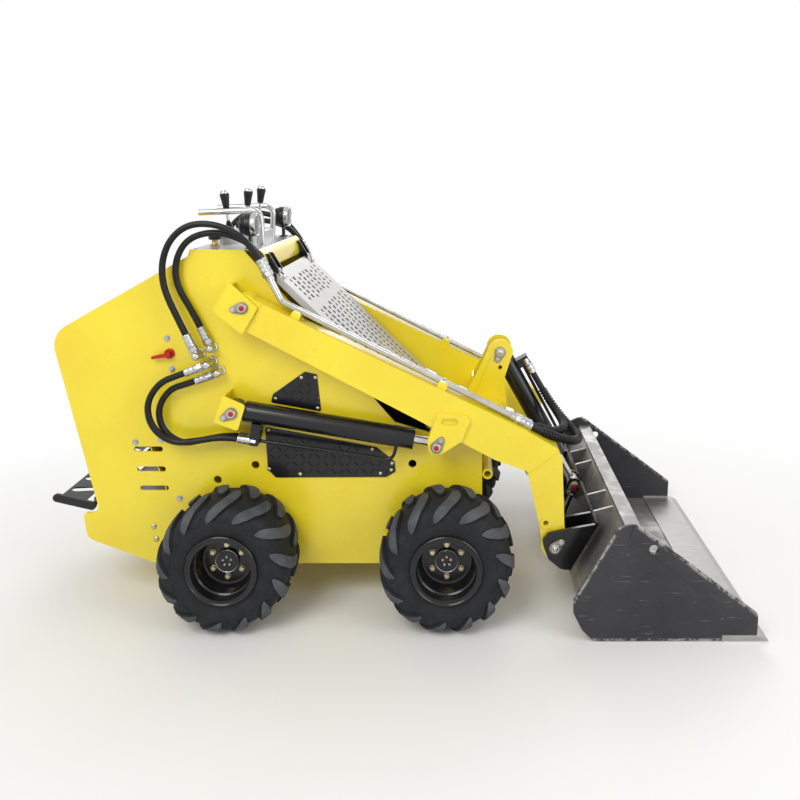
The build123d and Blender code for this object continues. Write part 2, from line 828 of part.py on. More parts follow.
# Port block near each barrel's base, and the steel line that leads from it to the head
port_start, port_end = 66, 98
port_block_width = 48
port_inset = 12
line_radius = 6
line_end_inset = 56


def cylinder_barrel(base, tip, length, eye_width, mid_y, port_reach, line_depth, line_bend):
    """Hollow barrel from base towards tip at Y = -mid_y; its ports reach out to one side of its axis."""
    angle = toward(base, tip)[1]
    axis_dir = (cos(radians(angle)), 0, sin(radians(angle)))
    with BuildPart() as barrel:
        with BuildSketch(side_plane(mid_y - eye_width / 2)):
            with Locations(base):
                Circle(barrel_eye_radius)
        extrude(amount=eye_width)
        root = Plane(origin=(*base[:1], -mid_y, base[1]), x_dir=(0, 1, 0), z_dir=axis_dir)
        with BuildSketch(root):
            Circle(barrel_eye_radius - 2)
        extrude(amount=barrel_eye_radius + 6)
        with BuildSketch(root.offset(barrel_eye_radius + 4)):
            Circle(barrel_radius)
        extrude(amount=length - barrel_eye_radius - 4)
        with BuildSketch(root.offset(barrel_eye_radius + 16)):
            Circle(barrel_bore)
        extrude(amount=length - barrel_eye_radius - 16 - gland_length, mode=Mode.SUBTRACT)
        wall = (barrel_bore + barrel_radius) / 2 * (1 if port_reach > 0 else -1)
        with BuildSketch(side_plane(mid_y - port_block_width / 2)):
            add(outline([
                (*along(base, angle, port_start, wall), 0),
                (*along(base, angle, port_start, port_reach), 3),
                (*along(base, angle, port_end, port_reach), 3),
                (*along(base, angle, port_end, wall), 0),
            ]))
        extrude(amount=port_block_width)
        with BuildLine() as line_path:
            FilletPolyline(
                *[(x, -mid_y, z) for x, z in (
                    along(base, angle, port_end - 2, line_depth),
                    along(base, angle, length - line_end_inset - 4, line_depth * 0.9),
                    along(base, angle, length - line_end_inset, wall),
                )],
                radius=line_bend,
            )
        with BuildSketch(Plane(origin=line_path.line @ 0, z_dir=line_path.line % 0)):
            Circle(line_radius)
        sweep()
        with BuildSketch(root.offset(barrel_eye_radius + 16)):
            Circle(rod_radius + running_fit)
        extrude(amount=length, mode=Mode.SUBTRACT)
        with BuildSketch(side_plane(mid_y - eye_width / 2)):
            with Locations(base):
                Circle(cylinder_pin_radius + running_fit)
        extrude(amount=eye_width, mode=Mode.SUBTRACT)
    return barrel


def cylinder_rod(base, tip, piston_at, eye_width, mid_y):
    """Rod with its piston inside the barrel and its eye at the tip, at Y = -mid_y."""
    reach, angle = toward(base, tip)
    axis_dir = (cos(radians(angle)), 0, sin(radians(angle)))
    with BuildPart() as rod:
        root = Plane(origin=(*base[:1], -mid_y, base[1]), x_dir=(0, 1, 0), z_dir=axis_dir)
        with BuildSketch(root.offset(piston_at)):
            Circle(barrel_bore - running_fit)
        extrude(amount=piston_length)
        with BuildSketch(root.offset(piston_at + piston_length)):
            Circle(rod_radius)
        extrude(amount=reach - piston_at - piston_length - rod_eye_bore - 4)
        with BuildSketch(side_plane(mid_y - eye_width / 2)):
            with Locations(tip):
                Circle(rod_eye_radius)
        extrude(amount=eye_width)
        with BuildSketch(side_plane(mid_y - eye_width / 2)):
            with Locations(tip):
                Circle(rod_eye_bore)
        extrude(amount=eye_width, mode=Mode.SUBTRACT)
    return rod


lift_base, lift_tip = (base_x, base_z), (rod_pin_x, rod_pin_z)
lift_piston_at = 70
lift_port_reach, lift_line_depth, lift_line_bend = -106, -94, 26
lift_barrel = cylinder_barrel(
    lift_base, lift_tip, lift_barrel_length, barrel_eye_width, arm_mid_y,
    lift_port_reach, lift_line_depth, lift_line_bend,
)
save("lift_barrel_r", lift_barrel)
save("lift_barrel_l", left_of(lift_barrel))
lift_rod = cylinder_rod(lift_base, lift_tip, lift_piston_at, rod_eye_width, arm_mid_y)
save("lift_rod_r", lift_rod)
save("lift_rod_l", left_of(lift_rod))

tilt_base, tilt_tip = (tower_x, tower_z), (tilt_eye_x, tilt_eye_z)
tilt_eye_width = 56
tilt_piston_at = 190
tilt_port_reach, tilt_line_depth, tilt_line_bend = 80, 50, 10
save("tilt_barrel", cylinder_barrel(
    tilt_base, tilt_tip, tilt_barrel_length, barrel_eye_width, 0,
    tilt_port_reach, tilt_line_depth, tilt_line_bend,
))
save("tilt_rod", cylinder_rod(tilt_base, tilt_tip, tilt_piston_at, tilt_eye_width, 0))

# Quick attach: a plate across the bucket's back, clevises round the arms' ends and ears at the middle
back_length, back_angle = toward(back_low, back_high)


def behind_back(t, depth):
    """Side-view point at t up the bucket's back edge and depth behind it."""
    return along(back_low, back_angle, t, depth)


plate_low, plate_high = 22, 212
plate_rear = attach_gap + attach_plate
CLEVIS = [
    (490, 268, 12),
    (509, 291, 12),
    (557, 302, 20),
    (*behind_back(plate_high - 6, plate_rear), 0),
    (*behind_back(plate_low, plate_rear), 0),
    (550, 168, 8),
    (510, 201, 20),
    (493, 247, 20),
]
clevis_inner = arm_inner_y - arm_side_play - clevis_plate
clevis_outer = arm_outer_y + arm_side_play
ear_plate = 12
tilt_slot_low = 108
lock_y, lock_width, lock_bar = 150, 12, 10
with BuildPart() as quick_attach:
    with BuildSketch(side_plane(0)):
        add(outline([
            (*behind_back(plate_low, attach_gap), 0),
            (*behind_back(plate_high, attach_gap), 0),
            (*behind_back(plate_high, plate_rear), 0),
            (*behind_back(plate_low, plate_rear), 0),
        ]))
    extrude(amount=attach_half, both=True)
    with BuildSketch(side_plane(0)):
        add(outline([
            (*behind_back(tilt_slot_low, 0), 0),
            (*behind_back(plate_high + 5, 0), 0),
            (*behind_back(plate_high + 5, plate_rear + 5), 0),
            (*behind_back(tilt_slot_low, plate_rear + 5), 0),
        ]))
    extrude(amount=ear_gap / 2, both=True, mode=Mode.SUBTRACT)
    for y in (clevis_inner, clevis_outer):
        with BuildSketch(side_plane(y)):
            add(outline(CLEVIS))
        extrude(amount=clevis_plate)
    with BuildSketch(side_plane(ear_gap / 2)):
        add(outline([
            (*behind_back(100, plate_rear), 0),
            (*behind_back(plate_high, plate_rear), 0),
            (tilt_eye_x, tilt_eye_z, 0),
        ]))
        with Locations(tilt_tip):
            Circle(rod_eye_radius + 4)
        add(outline([
            (*behind_back(80, attach_gap), 0),
            (*behind_back(plate_high + 30, attach_gap), 0),
            (*behind_back(plate_high + 30, -60), 0),
            (*behind_back(80, -60), 0),
        ]), mode=Mode.SUBTRACT)
    extrude(amount=ear_plate)
    add(kept_pin(tilt_tip, 230, ear_gap / 2 + ear_plate))
    with BuildSketch(side_plane(clevis_inner)):
        with Locations((bucket_pin_x, bucket_pin_z)):
            Circle(bucket_pin_radius)
    extrude(amount=clevis_outer + clevis_plate - clevis_inner)
    add(kept_pin((bucket_pin_x, bucket_pin_z), 45, clevis_outer + clevis_plate))
    # Hand lever of the wedge that locks the bucket
    with BuildSketch(side_plane(lock_y)):
        lock_line = [
            behind_back(96, plate_rear - 1),
            behind_back(104, plate_rear + 22),
            behind_back(186, plate_rear + 34),
        ]
        add(strip(lock_line, lock_bar, Side.LEFT))
    extrude(amount=lock_width)
    mirror(quick_attach.part, about=Plane.XZ)
save("quick_attach", quick_attach)

# Bucket
edge_thickness, edge_depth, edge_lap = 12, 150, 39
side_nose = (edge_reach - edge_lap + 3, 93)
side_shoulder = (765, 396)
BUCKET_SIDE = [
    (*back_low, 0),
    (575, 95, 20),
    (604, 38, 20),
    (640, bucket_floor_z, 20),
    (edge_reach - edge_lap, bucket_floor_z, 0),
    (*side_nose, 10),
    (*side_shoulder, 45),
    (*back_high, 12),
]
sheet_low = along(back_low, back_angle, 10, -back_recess)
sheet_high = along(back_low, back_angle, 268, -back_recess)
bar_width, bar_height = 50, 16
BACK_RIBS = (-148, 148, 285, -285)
rib_thickness = 10
# The hole lies behind the front slope, at a share of the way from shoulder to nose
side_hole_share = 0.154613
side_hole = (side_shoulder[0] + side_hole_share * (side_nose[0] - side_shoulder[0]), 309)
side_hole_size = 15
with BuildPart() as bucket:
    with BuildSketch(side_plane(bucket_half - bucket_side)):
        add(outline(BUCKET_SIDE))
        with Locations(side_hole):
            Circle(side_hole_size, mode=Mode.SUBTRACT)
    extrude(amount=bucket_side)
    mirror(bucket.part, about=Plane.XZ)
    with BuildSketch(side_plane(0)):
        with BuildLine():
            FilletPolyline(
                (edge_reach - edge_lap, bucket_floor_z),
                (back_low[0] + 75, bucket_floor_z),
                (back_low[0] + 25, 60),
                sheet_low,
                sheet_high,
                radius=[50, 50, 20],
            )
            offset(amount=bucket_sheet, side=Side.RIGHT)
        make_face()
    extrude(amount=bucket_half - bucket_side, both=True)
    with BuildSketch(side_plane(0)):
        with Locations((sheet_high[0] + 24, sheet_high[1] + 2)):
            Rectangle(bar_width, bar_height)
    extrude(amount=bucket_half - bucket_side, both=True)
    with BuildSketch(side_plane(0)):
        add(outline([
            (edge_reach, bucket_floor_z, 0),
            (edge_reach - edge_thickness * 2, bucket_floor_z + edge_thickness, 0),
            (edge_reach - edge_depth, bucket_floor_z + edge_thickness, 0),
            (edge_reach - edge_depth, bucket_floor_z, 0),
        ]))
    extrude(amount=bucket_half, both=True)
    for y in BACK_RIBS:
        with BuildSketch(side_plane(-y - rib_thickness / 2)):
            add(outline([
                (*behind_back(24, attach_gap), 0),
                (*behind_back(210, attach_gap), 0),
                (*behind_back(222, -10), 0),
                (*behind_back(262, -back_recess - 2), 0),
                (*behind_back(24, -back_recess - 2), 0),
            ]))
        extrude(amount=rib_thickness)
save("bucket", bucket)

# Tyre and rim, built with the wheel's centre at the origin and its outer face towards -Y
wheel_plane = Plane(origin=(0, 0, 0), x_dir=(0, -1, 0), z_dir=(-1, 0, 0))
wheel_mid = tyre_inner_y + tyre_width / 2
half_tyre = tyre_width / 2
bead_half = half_tyre - 6
crown_half = half_tyre - 5
bulge_radius = 150
# The crown has one flat under each lug. A lug's top is flat too, so only its ends reach the tyre's radius
lug_half = half_tyre - 6
lug_span = 40
lug_top = sqrt(tyre_radius**2 - lug_span**2)
lug_root = crown_radius - 9
lug_pitch = 360 / (lug_count / 2)
shoulder_width, shoulder_drop = 10, 10
# Lug table: distance round the tread, distance out from the tread's middle
LUG = [(-38, lug_half), (-2, lug_half), (10, 56), (lug_span, -4), (22, -10), (-22, 40)]
with BuildPart() as lug:
    with BuildSketch(Plane.XY.offset(lug_root)):
        with BuildLine():
            Polyline(*[(x, -y) for x, y in LUG], close=True)
        make_face()
    extrude(amount=lug_top - lug_root)
    with BuildSketch(wheel_plane):
        with BuildLine():
            Polyline(
                (lug_half - shoulder_width, lug_top),
                (lug_half, lug_top - shoulder_drop),
                (lug_half + 1, lug_top + 1),
                close=True,
            )
        make_face()
    extrude(amount=2 * lug_span, both=True, mode=Mode.SUBTRACT)

with BuildPart() as tyre:
    with BuildSketch(wheel_plane):
        with BuildLine():
            Polyline(
                (-bead_half, rim_seat_radius),
                (-bead_half, rim_lip_radius),
                (-half_tyre, bulge_radius),
                (-crown_half, lug_root),
                (crown_half, lug_root),
                (half_tyre, bulge_radius),
                (bead_half, rim_lip_radius),
                (bead_half, rim_seat_radius),
                close=True,
            )
        make_face()
    revolve(axis=Axis.Y)
    with BuildSketch(Plane.XZ.offset(-crown_half)):
        RegularPolygon(crown_radius, lug_count, major_radius=False)
        Circle(bulge_radius, mode=Mode.SUBTRACT)
    extrude(amount=2 * crown_half)
    outer_lug = lug.part
    inner_lug = outer_lug.mirror(Plane.XZ).rotate(Axis.Y, lug_pitch / 2)
    for k in range(lug_count // 2):
        add(outer_lug.rotate(Axis.Y, k * lug_pitch))
        add(inner_lug.rotate(Axis.Y, k * lug_pitch))

rim_half = half_tyre - rim_lip_inset
disc_offset = disc_y - wheel_mid
hub_depth = 24
hub_ring = 10
with BuildPart() as rim:
    with BuildSketch(wheel_plane):
        with BuildLine():
            Polyline(
                (-rim_half, rim_lip_radius),
                (-rim_half, rim_seat_radius - rim_wall),
                (rim_half, rim_seat_radius - rim_wall),
                (rim_half, rim_lip_radius),
                (bead_half, rim_lip_radius),
                (bead_half, rim_seat_radius),
                (-bead_half, rim_seat_radius),
                (-bead_half, rim_lip_radius),
                close=True,
            )
        make_face()
    revolve(axis=Axis.Y)
    # Disc, hub behind it and the ring in front of it: offset, radius and thickness
    for place, radius, thickness in (
        (disc_offset, rim_seat_radius - 1, disc_thickness),
        (disc_offset - hub_depth, bolt_circle + 14, hub_depth),
        (disc_offset + disc_thickness, hub_radius, hub_ring),
    ):
        with BuildSketch(side_plane(place)):
            Circle(radius)
        extrude(amount=thickness)
    with BuildSketch(side_plane(disc_offset - hub_depth)):
        Circle(shaft_radius + running_fit)
    extrude(amount=hub_depth + disc_thickness + hub_ring, mode=Mode.SUBTRACT)

for end, axle_x in (("front", front_axle_x), ("rear", rear_axle_x)):
    for kind, wheel_part in (("tyre", tyre), ("rim", rim)):
        with BuildPart() as right_wheel:
            with Locations((axle_x, -wheel_mid, axle_z)):
                add(wheel_part.part)
        save(f"{kind}_{end}_r", right_wheel)
        save(f"{kind}_{end}_l", left_of(right_wheel))


# Hydraulic hoses, each a straight run joined to the next by an arc as wide as the shorter run allows
def hose(name, points):
    """Free hose through a list of (X, Y, Z) points."""
    bends = []
    for before, corner, after in zip(points, points[1:], points[2:]):
        back = Vector(*corner) - Vector(*before)
        ahead = Vector(*after) - Vector(*corner)
        turn = radians(back.get_angle(ahead))
        bends.append(0.45 * min(back.length, ahead.length) / tan(turn / 2))
    with BuildPart() as piece:
        with BuildLine() as route:
            FilletPolyline(*points, radius=bends)
        with BuildSketch(Plane(origin=route.line @ 0, z_dir=route.line % 0)):
            Circle(hose_radius)
        sweep()
    section = pi * hose_radius**2
    print(name, "bend radii", [round(r) for r in bends], "length", round(route.wire().length))
    print(name, "volume over section x length", round(piece.part.volume / (section * route.wire().length), 4))
    return piece


lift_angle = toward(lift_base, lift_tip)[1]
tilt_angle = toward(tilt_base, tilt_tip)[1]
pipe_start_angle = toward(PIPE[1], PIPE[0])[1]
pipe_end_angle = toward(PIPE[1], PIPE[2])[1]
lift_port = along(lift_base, lift_angle, port_start - weld_gap, lift_port_reach + port_inset)
tilt_port = along(tilt_base, tilt_angle, port_end + weld_gap, tilt_port_reach - port_inset)

# Routes in the side view, between the elbow and the arm's pipe or the lift cylinder's port
UPPER_OUTER = [(-775, 1110), (-780, 1200), (-748, 1282), (-680, 1332), (-578, 1326)]
UPPER_INNER = [(-742, 1122), (-742, 1206), (-702, 1276), (-624, 1302), (-548, 1290)]
LOWER_OUTER = [(-797, 796), (-843, 723), (-826, 639), (-757, 588), (-671, 597)]
LOWER_INNER = [(-772, 768), (-814, 700), (-799, 622), (-734, 577), (-660, 592)]
pipe_arrival = along(PIPE[0], pipe_start_angle, weld_gap)
lift_rear = lift_angle + 180
# Hose table: name, elbow, length of its first run, route, far end, direction and length of its last run
SIDE_HOSES = [
    ("hose_upper_outer", PORTS[0], 90, UPPER_OUTER, pipe_arrival, pipe_start_angle, 105),
    ("hose_upper_inner", PORTS[1], 90, UPPER_INNER, pipe_arrival, pipe_start_angle, 84),
    ("hose_lower_outer", PORTS[2], 70, LOWER_OUTER, lift_port, lift_rear, 84),
    ("hose_lower_inner", PORTS[3], 70, LOWER_INNER, lift_port, lift_rear, 74),
]
for name, port, first_run, route, end, end_angle, last_run in SIDE_HOSES:
    x, z, hose_y, port_angle = port
    start = along((x, z), port_angle, hose_fitting_length + weld_gap)
    side_route = [start, along(start, port_angle, first_run), *route, along(end, end_angle, last_run), end]
    right_hose = hose(name, [(x, -hose_y, z) for x, z in side_route])
    save(f"{name}_r", right_hose)
    save(f"{name}_l", left_of(right_hose))

# Hoses that lead from the right arm's pipes to the tilt cylinder
pipe_exit = along(PIPE[2], pipe_end_angle, weld_gap)
# Hose table: name, Y at the pipe, length of the first run, route, Y at the port, length of the last run
TILT_HOSES = [
    (
        "tilt_hose_1", upper_hose_y[1], 71,
        [(548, -280, 600), (590, -190, 590), (578, -90, 605)], -port_hose_y, 130,
    ),
    (
        "tilt_hose_2", upper_hose_y[0], 91,
        [(590, -290, 572), (655, -165, 535), (612, -45, 560)], port_hose_y, 142,
    ),
]
for name, start_y, first_run, middle, end_y, last_run in TILT_HOSES:
    lead = along(pipe_exit, pipe_end_angle, first_run)
    approach = along(tilt_port, tilt_angle, last_run)
    save(name, hose(name, [
        (pipe_exit[0], -start_y, pipe_exit[1]),
        (lead[0], -start_y, lead[1]),
        *middle,
        (approach[0], end_y, approach[1]),
        (tilt_port[0], end_y, tilt_port[1]),
    ]))
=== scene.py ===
from math import acos, atan2, cos, degrees, hypot, pi, radians, sin, tan

import bpy
from mathutils import Matrix, Vector


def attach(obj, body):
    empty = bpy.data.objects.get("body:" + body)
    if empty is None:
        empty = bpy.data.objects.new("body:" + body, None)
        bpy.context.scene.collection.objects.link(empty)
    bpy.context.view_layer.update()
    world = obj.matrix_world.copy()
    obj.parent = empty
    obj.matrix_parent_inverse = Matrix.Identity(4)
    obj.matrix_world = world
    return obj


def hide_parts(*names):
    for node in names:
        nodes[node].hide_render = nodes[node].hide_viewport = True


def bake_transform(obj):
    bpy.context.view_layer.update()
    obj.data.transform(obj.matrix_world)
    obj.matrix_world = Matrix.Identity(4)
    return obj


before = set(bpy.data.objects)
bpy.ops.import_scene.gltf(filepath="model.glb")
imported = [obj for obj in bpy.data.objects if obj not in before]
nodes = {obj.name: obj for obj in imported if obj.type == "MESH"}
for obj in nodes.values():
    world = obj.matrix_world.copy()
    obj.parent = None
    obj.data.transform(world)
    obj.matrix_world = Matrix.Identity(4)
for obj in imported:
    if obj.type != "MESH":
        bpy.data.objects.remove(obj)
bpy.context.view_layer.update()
scene = bpy.context.scene
MM = 0.001
OUT = (0, -1, 0)
UP = (0, 0, 1)


# Materials

def linear(code):
    """Linear RGBA of an sRGB hex colour."""
    channels = [int(code[i:i + 2], 16) / 255 for i in (1, 3, 5)]
    return [c / 12.92 if c <= 0.04045 else ((c + 0.055) / 1.055) ** 2.4 for c in channels] + [1.0]


def put(tree, kind, inputs=None, **settings):
    """Adds one node, with its settings, and its inputs as values or links."""
    made = tree.nodes.new(kind)
    for key, value in settings.items():
        setattr(made, key, value)
    for socket, value in (inputs or {}).items():
        if isinstance(value, bpy.types.NodeSocket):
            tree.links.new(value, made.inputs[socket])
        else:
            made.inputs[socket].default_value = value
    return made


def new_material(name):
    """An empty node material, its tree and the place coordinates of the object."""
    material = bpy.data.materials.new(name)
    material.use_nodes = True
    tree = material.node_tree
    tree.nodes.clear()
    place = put(tree, "ShaderNodeTexCoord").outputs["Object"]
    return material, tree, place


def finish_material(tree, shader, bump_height=None, bump_depth=0.0001):
    """Joins the shader to the output, with a bump where a height is given."""
    if bump_height is not None:
        bump = put(
            tree, "ShaderNodeBump", {"Height": bump_height, "Distance": bump_depth, "Strength": 1.0}
        )
        tree.links.new(bump.outputs["Normal"], shader.inputs["Normal"])
    put(tree, "ShaderNodeOutputMaterial", {"Surface": shader.outputs["BSDF"]})


def noise(tree, place, grain_mm, detail=3.0, roughness=0.5):
    """Noise whose blotches are about grain_mm across."""
    made = put(
        tree, "ShaderNodeTexNoise",
        {"Vector": place, "Scale": 1 / (grain_mm * MM), "Detail": detail, "Roughness": roughness},
    )
    return made.outputs["Fac"]


def span(tree, value, low, high, to_low=0.0, to_high=1.0):
    """Maps a value from one range to another, held at both ends."""
    made = put(
        tree, "ShaderNodeMapRange",
        {"Value": value, "From Min": low, "From Max": high, "To Min": to_low, "To Max": to_high},
    )
    return made.outputs["Result"]


def mix(tree, factor, first, second):
    """Colour between two colours or links."""
    made = put(tree, "ShaderNodeMix", {"Factor": factor}, data_type="RGBA")
    for socket, value in ((6, first), (7, second)):
        if isinstance(value, bpy.types.NodeSocket):
            tree.links.new(value, made.inputs[socket])
        else:
            made.inputs[socket].default_value = value
    return made.outputs[2]


def multiply(tree, first, second):
    """Product of two numbers."""
    return put(tree, "ShaderNodeMath", {0: first, 1: second}, operation="MULTIPLY").outputs[0]


def enamel(name, tone, deep, roughness, coat=0.5, dust="#8E8A7E", dust_amount=0.06, specular=0.5):
    """Sprayed enamel: a slight orange peel, clouds of tone and a film of dust that rises from the floor."""
    material, tree, place = new_material(name)
    clouds = span(tree, noise(tree, place, 260, 4), 0.35, 0.7)
    colour = mix(tree, clouds, linear(tone), linear(deep))
    height = put(tree, "ShaderNodeSeparateXYZ", {"Vector": place}).outputs["Z"]
    low = span(tree, height, 0.05, 0.6, dust_amount, 0.0)
    dusty = multiply(tree, low, span(tree, noise(tree, place, 35, 6, 0.65), 0.3, 0.75))
    colour = mix(tree, dusty, colour, linear(dust))
    rough = span(tree, noise(tree, place, 60, 5), 0.3, 0.7, roughness - 0.05, roughness + 0.08)
    shader = put(
        tree, "ShaderNodeBsdfPrincipled",
        {
            "Base Color": colour, "Roughness": rough, "IOR": 1.5, "Coat Weight": coat, "Coat Roughness": 0.12,
            "Specular IOR Level": specular,
        },
    )
    finish_material(tree, shader, noise(tree, place, 3.0, 2), 0.00006)
    return material


def metal(name, bright, dull, roughness, grain_mm=(2.0, 2.0, 2.0), depth=0.00003):
    """Bare or plated metal with fine grain, stretched along one way where it was brushed or drawn."""
    material, tree, place = new_material(name)
    stretch = put(
        tree, "ShaderNodeMapping",
        {"Vector": place, "Scale": [1 / (g * MM) for g in grain_mm]},
    ).outputs["Vector"]
    grain = put(
        tree, "ShaderNodeTexNoise", {"Vector": stretch, "Scale": 1.0, "Detail": 4.0, "Roughness": 0.6}
    ).outputs["Fac"]
    patches = span(tree, noise(tree, place, 40, 4), 0.35, 0.7)
    colour = mix(tree, patches, linear(bright), linear(dull))
    rough = span(tree, grain, 0.3, 0.7, roughness - 0.06, roughness + 0.1)
    shader = put(
        tree, "ShaderNodeBsdfPrincipled",
        {"Base Color": colour, "Metallic": 1.0, "Roughness": rough},
    )
    finish_material(tree, shader, grain, depth)
    return material


def moulded_plastic(name, tone, deep, roughness, grain_mm=0.8):
    """Injection moulded plastic with the fine grain of its mould."""
    material, tree, place = new_material(name)
    colour = mix(tree, span(tree, noise(tree, place, 20, 3), 0.3, 0.7), linear(tone), linear(deep))
    rough = span(tree, noise(tree, place, 8, 4), 0.3, 0.7, roughness - 0.05, roughness + 0.1)
    shader = put(
        tree, "ShaderNodeBsdfPrincipled",
        {"Base Color": colour, "Roughness": rough, "IOR": 1.49, "Specular IOR Level": 0.35},
    )
    finish_material(tree, shader, noise(tree, place, grain_mm, 2), 0.00004)
    return material


def past_line(tree, place, start, end):
    """Metres that a point lies to the left of a side-view line from start to end (X, Z)."""
    run = (end[0] - start[0], end[1] - start[1])
    size = hypot(*run)
    normal = (-run[1] / size, 0, run[0] / size)
    reach = put(
        tree, "ShaderNodeVectorMath", {0: place, 1: normal}, operation="DOT_PRODUCT"
    ).outputs["Value"]
    offset = (normal[0] * start[0] + normal[2] * start[1]) * MM
    return put(tree, "ShaderNodeMath", {0: reach, 1: offset}, operation="SUBTRACT").outputs[0]


def larger(tree, first, second):
    """The larger of two numbers."""
    return put(tree, "ShaderNodeMath", {0: first, 1: second}, operation="MAXIMUM").outputs[0]


# Corners of the bucket's side plate (X, Z), its inner face, and the cutting edge in front of the sheet
SIDE_NOSE, SIDE_SHOULDER = (1166, 93), (765, 396)
SIDE_BACK_TOP, SIDE_BACK_FOOT = (711, 372), (575, 137)
SIDE_INNER_Y = 529
EDGE_BACK_X, EDGE_TOP_Z = 1052, 22


def bucket_enamel(name):
    """Black bucket enamel: soil scoured it off between the sides, and the edges are chipped."""
    material, tree, place = new_material(name)
    axes = put(tree, "ShaderNodeSeparateXYZ", {"Vector": place}).outputs
    stretched = put(
        tree, "ShaderNodeMapping", {"Vector": place, "Scale": (14, 180, 60)}
    ).outputs["Vector"]
    scratches = put(
        tree, "ShaderNodeTexNoise", {"Vector": stretched, "Scale": 1.0, "Detail": 8.0, "Roughness": 0.7}
    ).outputs["Fac"]
    crossed = put(
        tree, "ShaderNodeMapping",
        {"Vector": place, "Rotation": (0, radians(38), 0), "Scale": (9, 40, 330)},
    ).outputs["Vector"]
    long_scratches = put(
        tree, "ShaderNodeTexNoise", {"Vector": crossed, "Scale": 1.0, "Detail": 5.0, "Roughness": 0.6}
    ).outputs["Fac"]
    patches = noise(tree, place, 90, 7, 0.62)
    # The sheet, its rail and its ribs lie between the side plates
    out = put(tree, "ShaderNodeMath", {0: axes["Y"]}, operation="ABSOLUTE").outputs[0]
    between = span(tree, out, (SIDE_INNER_Y - 0.2) * MM, (SIDE_INNER_Y + 0.2) * MM, 1.0, 0.0)
    scoured = multiply(tree, between, span(tree, patches, 0.34, 0.56, 1.0, 0.45))
    # Chips along the front slope, the back edge and the floor of the side plates
    slope = span(tree, past_line(tree, place, SIDE_NOSE, SIDE_SHOULDER), 0.003, 0.012, 1.0, 0.0)
    rear = span(tree, past_line(tree, place, SIDE_BACK_TOP, SIDE_BACK_FOOT), 0.002, 0.010, 1.0, 0.0)
    floor = span(tree, axes["Z"], 0.006, 0.014, 1.0, 0.0)
    rims = larger(tree, larger(tree, slope, rear), floor)
    chips = multiply(tree, rims, span(tree, noise(tree, place, 22, 6, 0.7), 0.46, 0.56))
    fine = multiply(tree, span(tree, larger(tree, scratches, long_scratches), 0.66, 0.72), 0.55)
    edge = multiply(
        tree,
        span(tree, axes["X"], (EDGE_BACK_X - 2) * MM, (EDGE_BACK_X + 2) * MM),
        span(tree, axes["Z"], (EDGE_TOP_Z - 2) * MM, (EDGE_TOP_Z + 2) * MM, 1.0, 0.0),
    )
    bare = larger(tree, larger(tree, scoured, chips), larger(tree, fine, edge))
    clouds = span(tree, noise(tree, place, 120, 5), 0.3, 0.7)
    paint = mix(tree, clouds, linear("#222226"), linear("#313136"))
    steel = mix(tree, span(tree, scratches, 0.35, 0.7), linear("#A3A19E"), linear("#BDBBB8"))
    colour = mix(tree, bare, paint, steel)
    rough = span(tree, scratches, 0.3, 0.7, 0.28, 0.5)
    shader = put(
        tree, "ShaderNodeBsdfPrincipled",
        {"Base Color": colour, "Metallic": multiply(tree, bare, 0.85), "Roughness": rough, "IOR": 1.5},
    )
    finish_material(tree, shader, scratches, 0.00008)
    return material


def tyre_rubber(name, dark, pale, dust):
    """Vulcanised rubber, matt black, with pale dust in its pores; scuffed faces are greyer."""
    material, tree, place = new_material(name)
    clouds = span(tree, noise(tree, place, 45, 6, 0.6), 0.3, 0.72)
    colour = mix(tree, clouds, linear(dark), linear(pale))
    specks = span(tree, noise(tree, place, 4.0, 5, 0.7), 0.6, 0.78, 0, dust)
    colour = mix(tree, specks, colour, linear("#7A7875"))
    rough = span(tree, noise(tree, place, 30, 4), 0.3, 0.7, 0.62, 0.8)
    shader = put(
        tree, "ShaderNodeBsdfPrincipled",
        {"Base Color": colour, "Roughness": rough, "IOR": 1.52, "Specular IOR Level": 0.25},
    )
    finish_material(tree, shader, noise(tree, place, 1.6, 4), 0.00025)
    return material


def hose_rubber(name):
    """Rubber cover of a hydraulic hose: black, satin, with the faint weave of its wrapped mould."""
    material, tree, place = new_material(name)
    colour = mix(tree, span(tree, noise(tree, place, 30, 4), 0.3, 0.7), linear("#0D0D10"), linear("#18181C"))
    rough = span(tree, noise(tree, place, 12, 4), 0.3, 0.7, 0.34, 0.48)
    shader = put(
        tree, "ShaderNodeBsdfPrincipled",
        {"Base Color": colour, "Roughness": rough, "IOR": 1.5, "Specular IOR Level": 0.3},
    )
    finish_material(tree, shader, noise(tree, place, 1.2, 2), 0.00012)
    return material


def lamp_glass(name):
    """Clear pressed glass of a work lamp, faintly rippled."""
    material, tree, place = new_material(name)
    shader = put(
        tree, "ShaderNodeBsdfPrincipled",
        {"Base Color": linear("#F2F5F7"), "Roughness": 0.06, "IOR": 1.5, "Transmission Weight": 0.85},
    )
    finish_material(tree, shader, noise(tree, place, 9, 1), 0.0004)
    return material


YELLOW = enamel("yellow_enamel", "#EED928", "#E8CE22", 0.3)
BLACK = enamel("black_enamel", "#0C0C0F", "#131317", 0.26, coat=0.3, dust="#6A675F", specular=0.3)
SILVER = enamel("silver_enamel", "#B9B8B4", "#A9A8A5", 0.34, coat=0.3)
CHROME = metal("hard_chrome", "#C9C8C6", "#B2B1AF", 0.16, (3, 3, 3), 0.00001)
DULL_STEEL = metal("oiled_forged_steel", "#A39A88", "#7C7466", 0.42, (3, 3, 3), 0.00006)
ZINC = metal("bright_zinc_plate", "#C9CACB", "#A9ABAD", 0.3, (4, 4, 4))
PASSIVATED = metal("yellow_passivated_zinc", "#CFC4A2", "#A8A290", 0.34, (5, 5, 5))
IRON = metal("engine_cast_iron", "#2A2A2A", "#1C1C1C", 0.6, (2, 2, 2), 0.0003)
BRASS = metal("brass_fitting", "#C4AE78", "#A08C58", 0.3, (4, 4, 4))
